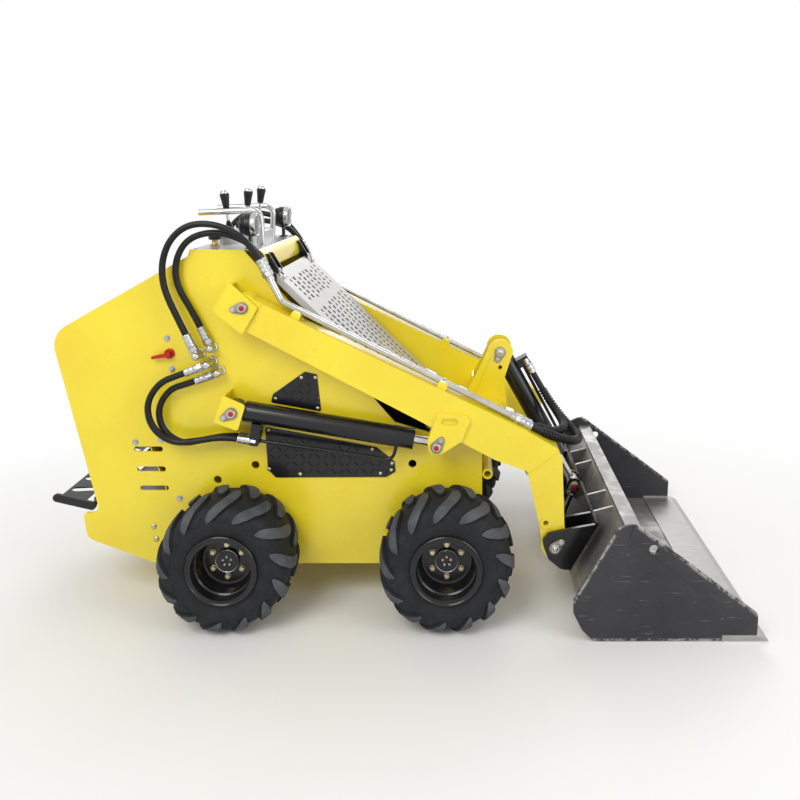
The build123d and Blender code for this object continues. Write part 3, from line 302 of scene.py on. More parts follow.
PLASTIC = moulded_plastic("black_moulded_plastic", "#0D0D10", "#17171B", 0.36)
RED = moulded_plastic("red_moulded_plastic", "#C2241C", "#A01A16", 0.35)
BUCKET = bucket_enamel("worn_bucket_enamel")
RUBBER = tyre_rubber("tyre_rubber", "#1A1B1E", "#26272A", 0.2)
LUG_RUBBER = tyre_rubber("scuffed_lug_rubber", "#3E4044", "#56585D", 0.3)
HOSE = hose_rubber("hose_rubber")
GLASS = lamp_glass("lamp_glass")

NODE_FINISH = {
    "top_deck": ZINC, "engine_block": IRON, "vent_plates": BLACK, "wheel_motors": BLACK,
    "control_valve": ZINC, "control_levers": CHROME, "grab_rails": CHROME, "work_lamps": PLASTIC,
    "filler_cap": PLASTIC, "key_switch": RED, "hose_ports": PASSIVATED, "hood_hinges": BLACK,
    "hood": SILVER, "fold_step": BLACK, "arm_pipes": CHROME, "operator_floor": BLACK,
    "quick_attach": BLACK, "bucket": BUCKET,
}
# Finish of every other solid whose name holds the word; what holds none of them is yellow
WORD_FINISH = {"tyre": RUBBER, "rim": BLACK, "barrel": BLACK, "rod": CHROME, "hose": HOSE}


def solid_finish(name):
    """Finish of a solid by its name."""
    if name in NODE_FINISH:
        return NODE_FINISH[name]
    return next((finish for word, finish in WORD_FINISH.items() if word in name), YELLOW)


for name, node in nodes.items():
    node.data.materials.clear()
    node.data.materials.append(solid_finish(name))


# Modelling helpers: sizes in millimetres, a piece made at the origin and then settled in its place

def alone():
    """Deselects everything, so that an operator acts on the new primitive alone."""
    bpy.ops.object.select_all(action="DESELECT")


def apply_all(piece):
    """Applies the modifiers of a piece in their order."""
    alone()
    bpy.context.view_layer.objects.active = piece
    piece.select_set(True)
    for modifier in list(piece.modifiers):
        bpy.ops.object.modifier_apply(modifier=modifier.name)


def smooth(piece, edge_angle=35):
    """Smooth shading up to an angle between faces."""
    alone()
    bpy.context.view_layer.objects.active = piece
    piece.select_set(True)
    bpy.ops.object.shade_smooth_by_angle(angle=radians(edge_angle))


def turned(profile, sides=32, edge_angle=35):
    """Round piece that stands on +Z: a disc drawn up and sized from one (radius, height) to the next."""
    alone()
    radius, height = profile[0]
    bpy.ops.mesh.primitive_circle_add(vertices=sides, radius=radius * MM, fill_type="NGON")
    piece = bpy.context.object
    bpy.ops.object.mode_set(mode="EDIT")
    bpy.ops.mesh.select_all(action="SELECT")
    bpy.ops.transform.translate(value=(0, 0, height * MM))
    for next_radius, next_height in profile[1:]:
        rise = (0, 0, (next_height - height) * MM)
        bpy.ops.mesh.extrude_region_move(TRANSFORM_OT_translate={"value": rise})
        share = next_radius / radius
        bpy.ops.transform.resize(value=(share, share, 1), center_override=(0, 0, next_height * MM))
        radius, height = next_radius, next_height
    bpy.ops.mesh.select_all(action="SELECT")
    bpy.ops.mesh.normals_make_consistent(inside=False)
    bpy.ops.object.mode_set(mode="OBJECT")
    smooth(piece, edge_angle)
    return piece


def plate(corners, thickness, edge=0.8):
    """Flat piece from its side-view outline (X, Z), which stands off Y = 0 towards -Y, edges eased."""
    alone()
    bpy.ops.mesh.primitive_circle_add(vertices=len(corners), radius=MM, fill_type="NGON")
    piece = bpy.context.object
    for vertex, (x, z) in zip(piece.data.vertices, corners):
        vertex.co = (x * MM, 0, z * MM)
    bpy.ops.object.mode_set(mode="EDIT")
    bpy.ops.mesh.select_all(action="SELECT")
    bpy.ops.mesh.extrude_region_move(TRANSFORM_OT_translate={"value": (0, -thickness * MM, 0)})
    bpy.ops.mesh.select_all(action="SELECT")
    bpy.ops.mesh.normals_make_consistent(inside=False)
    bpy.ops.object.mode_set(mode="OBJECT")
    if edge:
        ease = piece.modifiers.new("ease", "BEVEL")
        ease.width = edge * MM
        ease.segments = 2
        ease.limit_method = "ANGLE"
        apply_all(piece)
    smooth(piece)
    return piece


def spun(section, steps=72, edge_angle=35):
    """Ring round the Y axis from its closed section of (distance out towards -Y, radius)."""
    alone()
    bpy.ops.mesh.primitive_circle_add(vertices=len(section), radius=MM, fill_type="NOTHING")
    piece = bpy.context.object
    for vertex, (out, radius) in zip(piece.data.vertices, section):
        vertex.co = (0, -out * MM, radius * MM)
    bpy.ops.object.mode_set(mode="EDIT")
    bpy.ops.mesh.select_all(action="SELECT")
    bpy.ops.mesh.spin(steps=steps, angle=2 * pi, center=(0, 0, 0), axis=(0, 1, 0))
    bpy.ops.mesh.select_all(action="SELECT")
    bpy.ops.mesh.remove_doubles(threshold=0.00001)
    bpy.ops.mesh.normals_make_consistent(inside=False)
    bpy.ops.object.mode_set(mode="OBJECT")
    smooth(piece, edge_angle)
    return piece


def moved(piece, at, ahead=UP, spin=0.0):
    """Turns the mesh's own +Z ahead, after a spin about it in degrees, and takes it to a place."""
    turn = Vector(UP).rotation_difference(Vector(ahead)).to_matrix().to_4x4()
    spun_first = turn @ Matrix.Rotation(radians(spin), 4, "Z")
    piece.data.transform(Matrix.Translation(Vector(at) * MM) @ spun_first)
    return piece


def copied(piece):
    """Second piece with its own mesh."""
    twin = bpy.data.objects.new(piece.name, piece.data.copy())
    scene.collection.objects.link(twin)
    return twin


def joined(pieces):
    """Several meshes as one piece."""
    alone()
    for piece in pieces:
        piece.select_set(True)
    bpy.context.view_layer.objects.active = pieces[0]
    bpy.ops.object.join()
    return pieces[0]


def at_places(master, places):
    """One piece of copies of a master, each at (X, Y, Z, direction ahead, spin); the master goes."""
    pieces = [moved(copied(master), (x, y, z), ahead, turn) for x, y, z, ahead, turn in places]
    bpy.data.objects.remove(master)
    return joined(pieces)


def on_both_sides(piece):
    """Adds the left-hand twin, mirrored in the middle plane."""
    twin = piece.modifiers.new("twin", "MIRROR")
    twin.use_axis = (False, True, False)
    twin.use_mirror_merge = False
    apply_all(piece)
    return piece


def finished(piece, name, finish, body):
    """Names a piece and gives it its finish and its body, where these are given."""
    piece.name = name
    if finish:
        piece.data.materials.clear()
        piece.data.materials.append(finish)
    if body:
        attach(piece, body)
    return piece


# Hydraulic hoses: smooth splines on the part's own routes, all of one thickness

HOSE_DIAMETER = 22
# Route table: name, distance from the middle, length, body of the far end, X and Z of the points
SIDE_ROUTES = [
    ("hose_upper_outer", 345, 778, "lift_arms", [
        (-689, 921.3), (-727, 1002.9), (-775, 1110), (-780, 1200), (-748, 1282), (-680, 1332), (-578, 1326),
        (-481.6, 1268.7), (-436, 1174.1),
    ]),
    ("hose_upper_inner", 321, 686, "lift_arms", [
        (-647, 942.3), (-685, 1023.9), (-742, 1122), (-742, 1206), (-702, 1276), (-624, 1302), (-548, 1290),
        (-472.5, 1249.8), (-436, 1174.1),
    ]),
    ("hose_lower_outer", 357, 644, "lift_barrel", [
        (-669.7, 844.3), (-735.5, 820.3), (-797, 796), (-843, 723), (-826, 639), (-757, 588), (-671, 597),
        (-579.7, 612.4), (-496.9, 598.3),
    ]),
    ("hose_lower_inner", 333, 601, "lift_barrel", [
        (-643.7, 810.3), (-709.5, 786.3), (-772, 768), (-814, 700), (-799, 622), (-734, 577), (-660, 592),
        (-569.8, 610.7), (-496.9, 598.3),
    ]),
]
# Route table: name, length, X, Y and Z of the points
TILT_ROUTES = [
    ("tilt_hose_1", 577, [
        (419.1, -321, 660), (482.4, -321, 627.8), (548, -280, 600), (590, -190, 590), (578, -90, 605),
        (532.3, -12, 661.7), (469.8, -12, 775.7),
    ]),
    ("tilt_hose_2", 734, [
        (419.1, -345, 660), (500.2, -345, 618.8), (590, -290, 572), (655, -165, 535), (612, -45, 560),
        (538, 12, 651.2), (469.8, 12, 775.7),
    ]),
]


def spline_along(points, thickness):
    """Curve piece on a smooth spline with those points as its control points."""
    curve = bpy.data.curves.new("hose", "CURVE")
    curve.dimensions = "3D"
    curve.resolution_u = 10
    curve.bevel_depth = thickness / 2 * MM
    curve.bevel_resolution = 4
    spline = curve.splines.new("NURBS")
    spline.points.add(len(points) - 1)
    for point, place in zip(spline.points, points):
        point.co = (*[c * MM for c in place], 1)
    spline.order_u = 3
    spline.use_endpoint_u = True
    piece = bpy.data.objects.new("hose", curve)
    scene.collection.objects.link(piece)
    return piece


def line_of(points):
    """Points along the spline itself, in metres."""
    bare = spline_along(points, 0)
    bpy.context.view_layer.update()
    mesh = bpy.data.meshes.new_from_object(bare)
    line = [v.co.copy() for v in mesh.vertices]
    bpy.data.objects.remove(bare)
    bpy.data.meshes.remove(mesh)
    return line


def as_mesh(piece):
    """Turns a curve piece into a mesh piece."""
    alone()
    bpy.context.view_layer.objects.active = piece
    piece.select_set(True)
    bpy.ops.object.convert(target="MESH")
    return bpy.context.object


def ferrule(at, ahead):
    """Hexagon nut and crimped sleeve on a hose's end; ahead points along the hose."""
    nut = turned([(13.5, -24), (16.5, -22), (16.5, -7), (13.5, -5)], 6, 20)
    sleeve = turned([
        (12.4, -6), (14.2, -5), (14.8, -3), (14.8, 4), (14.0, 6), (14.0, 12), (14.8, 14), (14.8, 20),
        (14.0, 22), (14.0, 30), (14.8, 32), (14.8, 38), (13.6, 40), (11.4, 40.5),
    ], 24, 50)
    return moved(joined([nut, sleeve]), at, ahead)


def lay_hose(name, points, bodies):
    """Cover of one hose, its line, and the ferrules at its near and far ends."""
    line = line_of(points)
    tube = finished(as_mesh(spline_along(points, HOSE_DIAMETER)), name, HOSE, None)
    start, end = Vector(points[0]), Vector(points[-1])
    near = ferrule(start, Vector(points[1]) - start)
    far = ferrule(end, Vector(points[-2]) - end)
    finished(near, name + "_near_ferrule", ZINC, bodies[0])
    finished(far, name + "_far_ferrule", ZINC, bodies[1])
    return tube, line, near, far


def bend_between(tube, heading):
    """Bakes a hose's place into its mesh; the heading is worked out but not used."""
    heading = Vector((heading[0], 0, heading[1])).normalized()
    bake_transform(tube)


for base_name, hose_y, length, far_body, route in SIDE_ROUTES:
    for side, sign in (("r", -1), ("l", 1)):
        name = f"{base_name}_{side}"
        bodies = ("chassis", far_body if far_body == "lift_arms" else f"{far_body}_{side}")
        points = [(x, sign * hose_y, z) for x, z in route]
        tube, line, near, far = lay_hose(name + "_cover", points, bodies)
        bend_between(tube, (1, 0.6) if far_body == "lift_arms" else (0.5, -1))
        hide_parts(name)


def spiral_guard(line, radius, pitch, thickness):
    """Plastic wrap wound round a hose: a round band whose turns follow the hose's own line."""
    turns = []
    run = 0.0
    side = Vector(UP).cross(line[1] - line[0]).normalized()
    for before, here in zip(line, line[1:]):
        ahead = here - before
        steps = max(2, int(ahead.length / (pitch * MM) * 12))
        side = (side - side.dot(ahead.normalized()) * ahead.normalized()).normalized()
        up = ahead.normalized().cross(side)
        for k in range(steps):
            along_it = before + ahead * k / steps
            angle = 2 * pi * (run + ahead.length * k / steps) / (pitch * MM)
            turns.append(along_it + radius * MM * (cos(angle) * side + sin(angle) * up))
        run += ahead.length
    curve = bpy.data.curves.new("guard", "CURVE")
    curve.dimensions = "3D"
    curve.bevel_depth = thickness / 2 * MM
    curve.bevel_resolution = 1
    spline = curve.splines.new("POLY")
    spline.points.add(len(turns) - 1)
    for point, place in zip(spline.points, turns):
        point.co = (*place, 1)
    piece = bpy.data.objects.new("guard", curve)
    scene.collection.objects.link(piece)
    return as_mesh(piece)


for name, length, points in TILT_ROUTES:
    bodies = ("lift_arms", "tilt_barrel")
    tube, line, near, far = lay_hose(name + "_cover", points, bodies)
    guard = finished(spiral_guard(line[6:-6], 12.2, 11, 7), name + "_guard", PLASTIC, None)
    for piece in (tube, guard):
        bend_between(piece, (0.3, 1))
    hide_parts(name)

# Outer faces of the side plates, of the covers on them and of the arms, from the middle
SIDE_FACE, COVER_FACE, ARM_FACE = 300, 303, 380

# Rounded backs of the elbow fittings and the nuts that seat them: X, Z, distance of the hose from the middle
ELBOWS = [(-672, 885, 345), (-630, 906, 321), (-632, 858, 357), (-606, 824, 333)]
ELBOW_HALF = 13
backs = at_places(
    turned([(13.3, -4), (13.2, 0), (11.8, 4.5), (8.6, 7.6), (4.6, 9.2), (0.6, 9.6)], 28, 60),
    [(x, -(out + ELBOW_HALF), z, OUT, 0) for x, z, out in ELBOWS],
)
seats = at_places(
    turned([(19, 0), (19, 9), (17, 10.5), (15, 10.8)], 6, 20),
    [(x, -SIDE_FACE, z, OUT, 13) for x, z, out in ELBOWS],
)
finished(on_both_sides(joined([backs, seats])), "elbow_nuts", ZINC, "chassis")


# Fasteners

def hex_bolt(across, head, washer, washer_thickness=1.8):
    """Hexagon head with a chamfer on a round washer, standing on +Z."""
    disc = turned([(washer, 0), (washer, washer_thickness * 0.7), (washer - 0.5, washer_thickness)], 28)
    corner = across / 2 / cos(pi / 6)
    top = washer_thickness + head
    hexagon = turned([
        (corner, washer_thickness), (corner, top - 1.0), (corner * 0.93, top), (corner * 0.8, top + 0.2),
    ], 6, 20)
    return joined([disc, hexagon])


def round_bolt(radius, height):
    """Domed cup head."""
    return turned([
        (radius, 0), (radius, height * 0.3), (radius * 0.92, height * 0.6), (radius * 0.7, height * 0.88),
        (radius * 0.35, height), (radius * 0.1, height),
    ], 24, 60)


# Screws of the vent covers, then hexagon and cup heads on the side plates: X, Z
VENT_SCREWS = [
    (-420, 726), (-330, 800), (-282, 800), (-276, 692), (-447, 616), (-447, 478), (-340, 459),
    (-62, 462), (-25, 474), (-22, 498), (-90, 548),
]
PLATE_BOLTS = [(-907, 572), (-819, 581), (-786, 936), (-772, 829), (-760, 372)]
PLATE_CUP_HEADS = [(-854, 271), (-847, 225)]
screws = at_places(round_bolt(6.5, 3.6), [(x, -COVER_FACE, z, OUT, 0) for x, z in VENT_SCREWS])
finished(on_both_sides(screws), "vent_screws", PASSIVATED, "chassis")
bolts = at_places(
    hex_bolt(13, 6, 11), [(x, -SIDE_FACE, z, OUT, 17 * k) for k, (x, z) in enumerate(PLATE_BOLTS)]
)
finished(on_both_sides(bolts), "side_plate_bolts", ZINC, "chassis")
cup_heads = at_places(round_bolt(10, 5), [(x, -SIDE_FACE, z, OUT, 0) for x, z in PLATE_CUP_HEADS])
finished(on_both_sides(cup_heads), "side_plate_cup_heads", PASSIVATED, "chassis")

# Black sheet behind the slots of the vent covers: painted shade for the dark inside that shows through the
# slots
SLOT_SHADE_LOW = [(-454, 621), (-78, 549), (-19, 501), (-15, 471), (-44, 454), (-422, 452), (-446, 477)]
SLOT_SHADE_HIGH = [(-424, 739), (-317, 815), (-282, 806), (-270, 686), (-431, 717)]
slot_shade_sheets = [moved(plate(corners, 0.5, 0), (0, -SIDE_FACE, 0)) for corners in (SLOT_SHADE_LOW, SLOT_SHADE_HIGH)]
finished(on_both_sides(joined(slot_shade_sheets)), "vent_slot_painted_shade", PLASTIC, "chassis")

# Keepers of the pins: name, X, Z, distance of the seat from the middle, angle of the tail, body,
# finish of the cap
KEEPERS = [
    ("pivot", -502, 1056, 391, 190, "chassis", RED),
    ("cylinder_base", -546, 702, 391, 210, "chassis", RED),
    ("rod_pin", 134, 586, 390, 57, "lift_arms", RED),
    ("tower_pin", 363, 829, 50, 250, "lift_arms", ZINC),
    ("tilt_pin", 648, 309, 45, 230, "bucket", RED),
    ("bucket_pin", 532, 241, 397, 45, "bucket", ZINC),
]
KEEPER_THICKNESS = 4.6


def keeper_outline(x, z, tail_angle):
    """Teardrop a hair larger than the keeper of the solid."""
    wide, narrow, reach = 20.4, 11.4, 30
    lean = degrees(acos((wide - narrow) / reach))
    corners = []
    for k in range(15):
        a = radians(tail_angle + lean + (360 - 2 * lean) * k / 14)
        corners.append((x + wide * cos(a), z + wide * sin(a)))
    tail = (x + reach * cos(radians(tail_angle)), z + reach * sin(radians(tail_angle)))
    for k in range(9):
        a = radians(tail_angle - lean + 2 * lean * k / 8)
        corners.append((tail[0] + narrow * cos(a), tail[1] + narrow * sin(a)))
    return corners, tail


for name, x, z, seat, tail_angle, body, cap_finish in KEEPERS:
    corners, tail = keeper_outline(x, z, tail_angle)
    drop = moved(plate(corners, KEEPER_THICKNESS, 0.9), (0, -seat, 0))
    head = turned([(14.4, 4), (14.4, 8.4), (13.2, 9.6), (9.4, 9.6), (8.8, 8.2)], 32)
    moved(head, (x, -seat, z), OUT)
    bolt = moved(hex_bolt(10, 5, 8.5), (tail[0], -seat - KEEPER_THICKNESS, tail[1]), OUT, 12)
    finished(on_both_sides(drop), name + "_keeper", DULL_STEEL, body)
    finished(on_both_sides(joined([head, bolt])), name + "_keeper_bolts", ZINC, body)
    cap = moved(round_bolt(8.6, 5), (x, -seat - 8.2, z), OUT)
    finished(on_both_sides(cap), name + "_cap", cap_finish, body)


# Wheels: each piece is modelled round the wheel's centre, its outer face towards -Y

FRONT_X, REAR_X, WHEEL_Y, AXLE_Z = 169, -554, 420.5, 225
WHEELS = [("front_r", FRONT_X, -1), ("front_l", FRONT_X, 1), ("rear_r", REAR_X, -1), ("rear_l", REAR_X, 1)]


def on_wheels(master, name, finish, replaced=None):
    """Copies a piece to all four wheels, turned over on the left; the master goes."""
    for wheel, x, side in WHEELS:
        piece = copied(master)
        if side > 0:
            piece.data.transform(Matrix.Scale(-1, 4, (0, 1, 0)))
            piece.data.flip_normals()
        piece.data.transform(Matrix.Translation(Vector((x, side * WHEEL_Y, AXLE_Z)) * MM))
        finished(piece, f"{name}_{wheel}", finish, f"wheel_{wheel}")
        if replaced:
            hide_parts(f"{replaced}_{wheel}")
    bpy.data.objects.remove(master)


# Carcass from the middle of the tread over the shoulder to the bead: distance out, radius
CARCASS = [
    (0, 211.5), (28, 211), (52, 209), (72, 205), (87, 199), (97, 190.5), (103, 179), (106, 165),
    (105.5, 150), (102.5, 137), (99.5, 129), (99.5, 124), (97.5, 120), (97, 115.5), (92, 112),
]
TREAD_RADIUS = 211
# Stations of one lug: distance round the tread, distance over it from the middle, half width, height
LUG = [
    (-50, 126, 4, 4), (-42, 117, 10, 9), (-28, 106, 13, 12), (-11, 93, 15, 12.8), (5, 77, 16.5, 13),
    (17, 58, 17.5, 13), (25, 37, 17.5, 13), (29, 16, 16, 13), (30, -2, 12, 12.6), (30, -12, 6, 12),
]
# Flat tab on the shoulder between two lugs, in the same terms
TAB = [(6, 104, 26, 2.4), (6, 113, 25, 2.6), (6, 122, 20, 2.4), (6, 131, 15, 2.0)]
LUG_COUNT = 13


def on_carcass(over):
    """Distance out, radius and outward direction of the carcass at a distance over it from the middle."""
    side = 1 if over >= 0 else -1
    left = abs(over)
    for (out_a, radius_a), (out_b, radius_b) in zip(CARCASS, CARCASS[1:]):
        step = hypot(out_b - out_a, radius_b - radius_a)
        if left <= step:
            share = left / step
            break
        left -= step
    ahead = ((out_b - out_a) / step, (radius_b - radius_a) / step)
    out, radius = out_a + (out_b - out_a) * share, radius_a + (radius_b - radius_a) * share
    return side * out, radius, (side * -ahead[1], ahead[0])


def lug_on_carcass(stations, scuffed, lean=2.0):
    """Lug at the top of the tyre: a grid drawn up to a block, laid on the carcass, its edges eased."""
    count = len(stations) - 1
    alone()
    bpy.ops.mesh.primitive_grid_add(x_subdivisions=count, y_subdivisions=2, size=2)
    piece = bpy.context.object
    bpy.ops.object.mode_set(mode="EDIT")
    bpy.ops.mesh.select_all(action="SELECT")
    bpy.ops.mesh.extrude_region_move(TRANSFORM_OT_translate={"value": (0, 0, 1)})
    bpy.ops.object.mode_set(mode="OBJECT")
    for vertex in piece.data.vertices:
        station = round((vertex.co.x + 1) / 2 * count)
        across = round(vertex.co.y)
        top = vertex.co.z > 0.5
        round_it, over, half, height = stations[station]
        before, after = stations[max(station - 1, 0)], stations[min(station + 1, count)]
        heading = Vector((after[0] - before[0], after[1] - before[1])).normalized()
        half = half if top else half + lean
        round_it -= across * half * heading.y
        over += across * half * heading.x
        out, radius, normal = on_carcass(over)
        lift = height if top else -3
        radius, out = radius + lift * normal[1], out + lift * normal[0]
        angle = round_it / TREAD_RADIUS
        vertex.co = Vector((radius * sin(angle), -out, radius * cos(angle))) * MM
    bpy.ops.object.mode_set(mode="EDIT")
    bpy.ops.mesh.select_all(action="SELECT")
    bpy.ops.mesh.normals_make_consistent(inside=False)
    bpy.ops.object.mode_set(mode="OBJECT")
    ease = piece.modifiers.new("ease", "BEVEL")
    ease.width = 1.6 * MM
    ease.segments = 2
    ease.limit_method = "ANGLE"
    ease.angle_limit = radians(38)
    apply_all(piece)
    # The scuffed outer faces look away from the middle of the tyre's section
    piece.data.materials.append(RUBBER)
    piece.data.materials.append(LUG_RUBBER)
    for face in piece.data.polygons:
        spread = Vector((0, face.center.y * 0.55, face.center.z - 0.165)).normalized()
        if scuffed and face.normal.dot(spread) > 0.8:
            face.material_index = 1
    return piece


def tyre():
    """Carcass with directional lugs, alternating from side to side."""
    outer = CARCASS + [(92, 104)]
    section = outer + [(-out, radius) for out, radius in reversed(outer[1:])]
    pieces = [spun(section, 104, 45)]
    pieces[0].data.materials.append(RUBBER)
    for stations in (LUG, TAB):
        lug = lug_on_carcass(stations, stations is LUG)
        twin = copied(lug)
        twin.data.transform(Matrix.Scale(-1, 4, (0, 1, 0)))
        twin.data.flip_normals()
        twin.data.transform(Matrix.Rotation(pi / LUG_COUNT, 4, "Y"))
        for k in range(LUG_COUNT):
            for master in (lug, twin):
                made = copied(master)
                made.data.transform(Matrix.Rotation(2 * pi * k / LUG_COUNT, 4, "Y"))
                pieces.append(made)
        for master in (lug, twin):
            bpy.data.objects.remove(master)
    whole = joined(pieces)
    smooth(whole, 40)
    return whole


on_wheels(tyre(), "lugged_tyre", None, "tyre")

# Stepped well of the rim with its rolled lip
RIM_WELL = [
    (101, 116.2), (105, 116.8), (107, 114.5), (106.6, 110.5), (104, 107.6), (98, 106.4), (91, 103),
    (87, 98), (71, 97), (67, 92.5), (51, 91), (46, 87.5), (31, 86), (25.5, 81.5), (24.2, 76), (22, 76),
    (22, 99), (97, 99.5),
]
HUB_RING = [(33.2, 38.5), (34.6, 38.3), (35.2, 37.4), (34.6, 36.4), (33.2, 36.2)]
BOLT_CIRCLE, BOLT_SEAT = 55, 23.5
SCREW_CIRCLE, SCREW_SEAT = 14, 33.5
on_wheels(spun(RIM_WELL, 96), "rim_well", BLACK)
on_wheels(spun(HUB_RING, 48), "hub_ring", ZINC)
wheel_bolts = [
    (BOLT_CIRCLE * cos(a), -BOLT_SEAT, BOLT_CIRCLE * sin(a), OUT, 11 * k)
    for k, a in enumerate(radians(60 * n + 30) for n in range(6))
]
on_wheels(at_places(hex_bolt(15, 9, 10, 2.2), wheel_bolts), "wheel_bolts", PASSIVATED)
hub_screws = [
    (SCREW_CIRCLE * cos(a), -SCREW_SEAT, SCREW_CIRCLE * sin(a), OUT, 0)
    for a in (radians(72 * n + 20) for n in range(5))
]
on_wheels(at_places(hex_bolt(6, 3, 4.0, 1.0), hub_screws), "hub_screws", ZINC)


# Controls and lamps on the deck

# Lever table: X and Z of the knob's top, Y of the lever, X and Z of its foot
LEVERS = [(-648, 1433, -75, -630), (-578, 1440, 0, -590), (-548, 1448, 75, -565)]
LEVER_FOOT_Z = 1287
# From the knob's top down to where its grip begins
KNOB_DROP = 64
for k, (top_x, top_z, y, foot_x) in enumerate(LEVERS):
    ahead = Vector((top_x - foot_x, 0, top_z - LEVER_FOOT_Z)).normalized()
    base = Vector((top_x, y, top_z)) - KNOB_DROP * ahead
    grip = turned([
        (7.5, -3), (10.2, -2), (11.2, 2), (12.6, 14), (14.2, 28), (16.2, 42), (16.9, 48), (16.4, 52),
        (14.5, 53),
    ], 32)
    finished(moved(grip, base, ahead), f"lever_grip_{k + 1}", PLASTIC, "chassis")
    dome = turned([(15.0, 52), (15.2, 55), (13.8, 59), (11.2, 62.4), (7.0, 64.6), (2.0, 65.4)], 32, 60)
    finished(moved(dome, base, ahead), f"lever_dome_{k + 1}", CHROME, "chassis")
    boot = turned([
        (19, -4), (19, 1), (16, 4), (17.5, 8), (13.5, 11), (15, 15), (11, 18), (12.4, 22), (8.6, 25),
        (9.6, 29), (6.4, 32), (6.4, 36), (5.2, 37),
    ], 28, 60)
    foot = Vector((foot_x, y, LEVER_FOOT_Z))
    finished(moved(boot, foot, ahead), f"lever_boot_{k + 1}", HOSE, "chassis")

# Front of a lamp's housing, and how far back the housing reaches
LAMP_FRONT, LAMP_DEPTH = Vector((-484, -249, 1320)), 46
FORWARD, BACKWARD = Vector((1, 0, 0)), Vector((-1, 0, 0))
bezel = turned([(39.3, -16), (40.6, -14), (40.6, 0), (39.6, 2.4), (36.8, 2.8), (35.4, 0.6), (34.6, -3)], 48)
finished(on_both_sides(moved(bezel, LAMP_FRONT, FORWARD)), "lamp_bezels", CHROME, "chassis")
lens = turned([(35.2, -2), (34.8, 0.6), (30, 2.6), (20, 4.4), (9, 5.2), (1, 5.4)], 48, 60)
finished(on_both_sides(moved(lens, LAMP_FRONT, FORWARD)), "lamp_lenses", GLASS, "chassis")
lamp_back = turned([(33, -1), (34.6, 0), (34, 5), (24, 12), (13, 16), (11, 24), (8, 25)], 40)
moved(lamp_back, LAMP_FRONT + LAMP_DEPTH * BACKWARD, BACKWARD)
finished(on_both_sides(lamp_back), "lamp_backs", PLASTIC, "chassis")

# Filler cap on its neck: X and Y of both, heights of the neck's foot and the crown's foot
FILLER_X, FILLER_Y, NECK_Z, CROWN_Z = -655, -170, 1239, 1262.5
neck = turned([(17, 0), (17, 4), (12, 6), (10.6, 8), (10.6, 20), (13, 22), (13, 24.5)], 32)
finished(moved(neck, (FILLER_X, FILLER_Y, NECK_Z)), "filler_neck", BRASS, "chassis")
crown = turned([(20.6, 0), (21.6, 1.5), (21.6, 17), (20, 21), (15, 23.4), (6, 24)], 24, 25)
finished(moved(crown, (FILLER_X, FILLER_Y, CROWN_Z)), "filler_crown", PLASTIC, "chassis")

# Screws of the deck plate: X, Y
DECK_SCREWS = [(-688, -275), (-688, 275), (-688, 0), (-482, -200), (-482, 200), (-600, -275), (-600, 275)]
DECK_TOP = 1238.9
deck = at_places(round_bolt(6.5, 4), [(x, y, DECK_TOP, UP, 0) for x, y in DECK_SCREWS])
finished(deck, "deck_screws", ZINC, "chassis")

# Straps that hold the steel lines on the arms' upper faces, whose ends are given by X and Z
ARM_TOP, ARM_BEND = (-439, 1067), (433, 640)
ARM_SLOPE = atan2(ARM_BEND[1] - ARM_TOP[1], ARM_BEND[0] - ARM_TOP[0])
ARM_NORMAL = (-sin(ARM_SLOPE), 0, cos(ARM_SLOPE))
STRAPS_X = [-336, 149]
# Outline of a strap along the arm and over it, its width across, where it begins, and where its bolt is
STRAP_OUTLINE = [(-16, -1), (16, -1), (16, 17), (11, 22.8), (-11, 22.8), (-16, 17)]
STRAP_WIDTH, STRAP_INNER_Y, STRAP_BOLT_Y, STRAP_HEIGHT = 62, 311, 333, 22.8


def on_arm(x, along, over):
    """Side-view place (X, Z) on an arm's upper face at x, moved along the arm and off it."""
    z = ARM_TOP[1] + (x - ARM_TOP[0]) * tan(ARM_SLOPE)
    return (
        x + along * cos(ARM_SLOPE) - over * sin(ARM_SLOPE),
        z + along * sin(ARM_SLOPE) + over * cos(ARM_SLOPE),
    )


straps = []
strap_bolts = []
for x in STRAPS_X:
    corners = [on_arm(x, along, over) for along, over in STRAP_OUTLINE]
    straps.append(moved(plate(corners, STRAP_WIDTH, 1.6), (0, -STRAP_INNER_Y, 0)))
    bolt_x, bolt_z = on_arm(x, 0, STRAP_HEIGHT)
    strap_bolts.append((bolt_x, -STRAP_BOLT_Y, bolt_z, ARM_NORMAL, 20))
finished(on_both_sides(joined(straps)), "line_straps", YELLOW, "lift_arms")
finished(on_both_sides(at_places(hex_bolt(10, 5, 8.5), strap_bolts)), "strap_bolts", ZINC, "lift_arms")

# Round dimples between the columns of holes in the hood, in two fields: distance down the hood, rows
HOOD_TOP, HOOD_FOOT = (-417, 1161), (130, 623)
HOOD_SLOPE = atan2(HOOD_FOOT[1] - HOOD_TOP[1], HOOD_FOOT[0] - HOOD_TOP[0])
HOOD_NORMAL = (-sin(HOOD_SLOPE), 0, cos(HOOD_SLOPE))
DIMPLE_FIELDS = [(55, 5), (206, 21)]
DIMPLE_PITCH = 22.4
# Columns: distance from the middle, share of the pitch by which its rows are lower
DIMPLE_COLUMNS = [(-216, 0), (-108, 0.5), (0, 0), (108, 0.5), (216, 0)]
dimples = []
for first, rows in DIMPLE_FIELDS:
    for row in range(rows):
        for y, lower in DIMPLE_COLUMNS:
            down = first + (row + lower) * DIMPLE_PITCH
            x, z = HOOD_TOP[0] + down * cos(HOOD_SLOPE), HOOD_TOP[1] + down * sin(HOOD_SLOPE)
            dimples.append((x, y, z, HOOD_NORMAL, 0))
# The dimples are finished dark: painted shade for the shadowed crescents round them on the silver hood
dimple = turned([(7.4, -0.4), (7.4, 0.5), (6.0, 0.9)], 12)
finished(at_places(dimple, dimples), "hood_dimples_painted_shade", IRON, "hood")

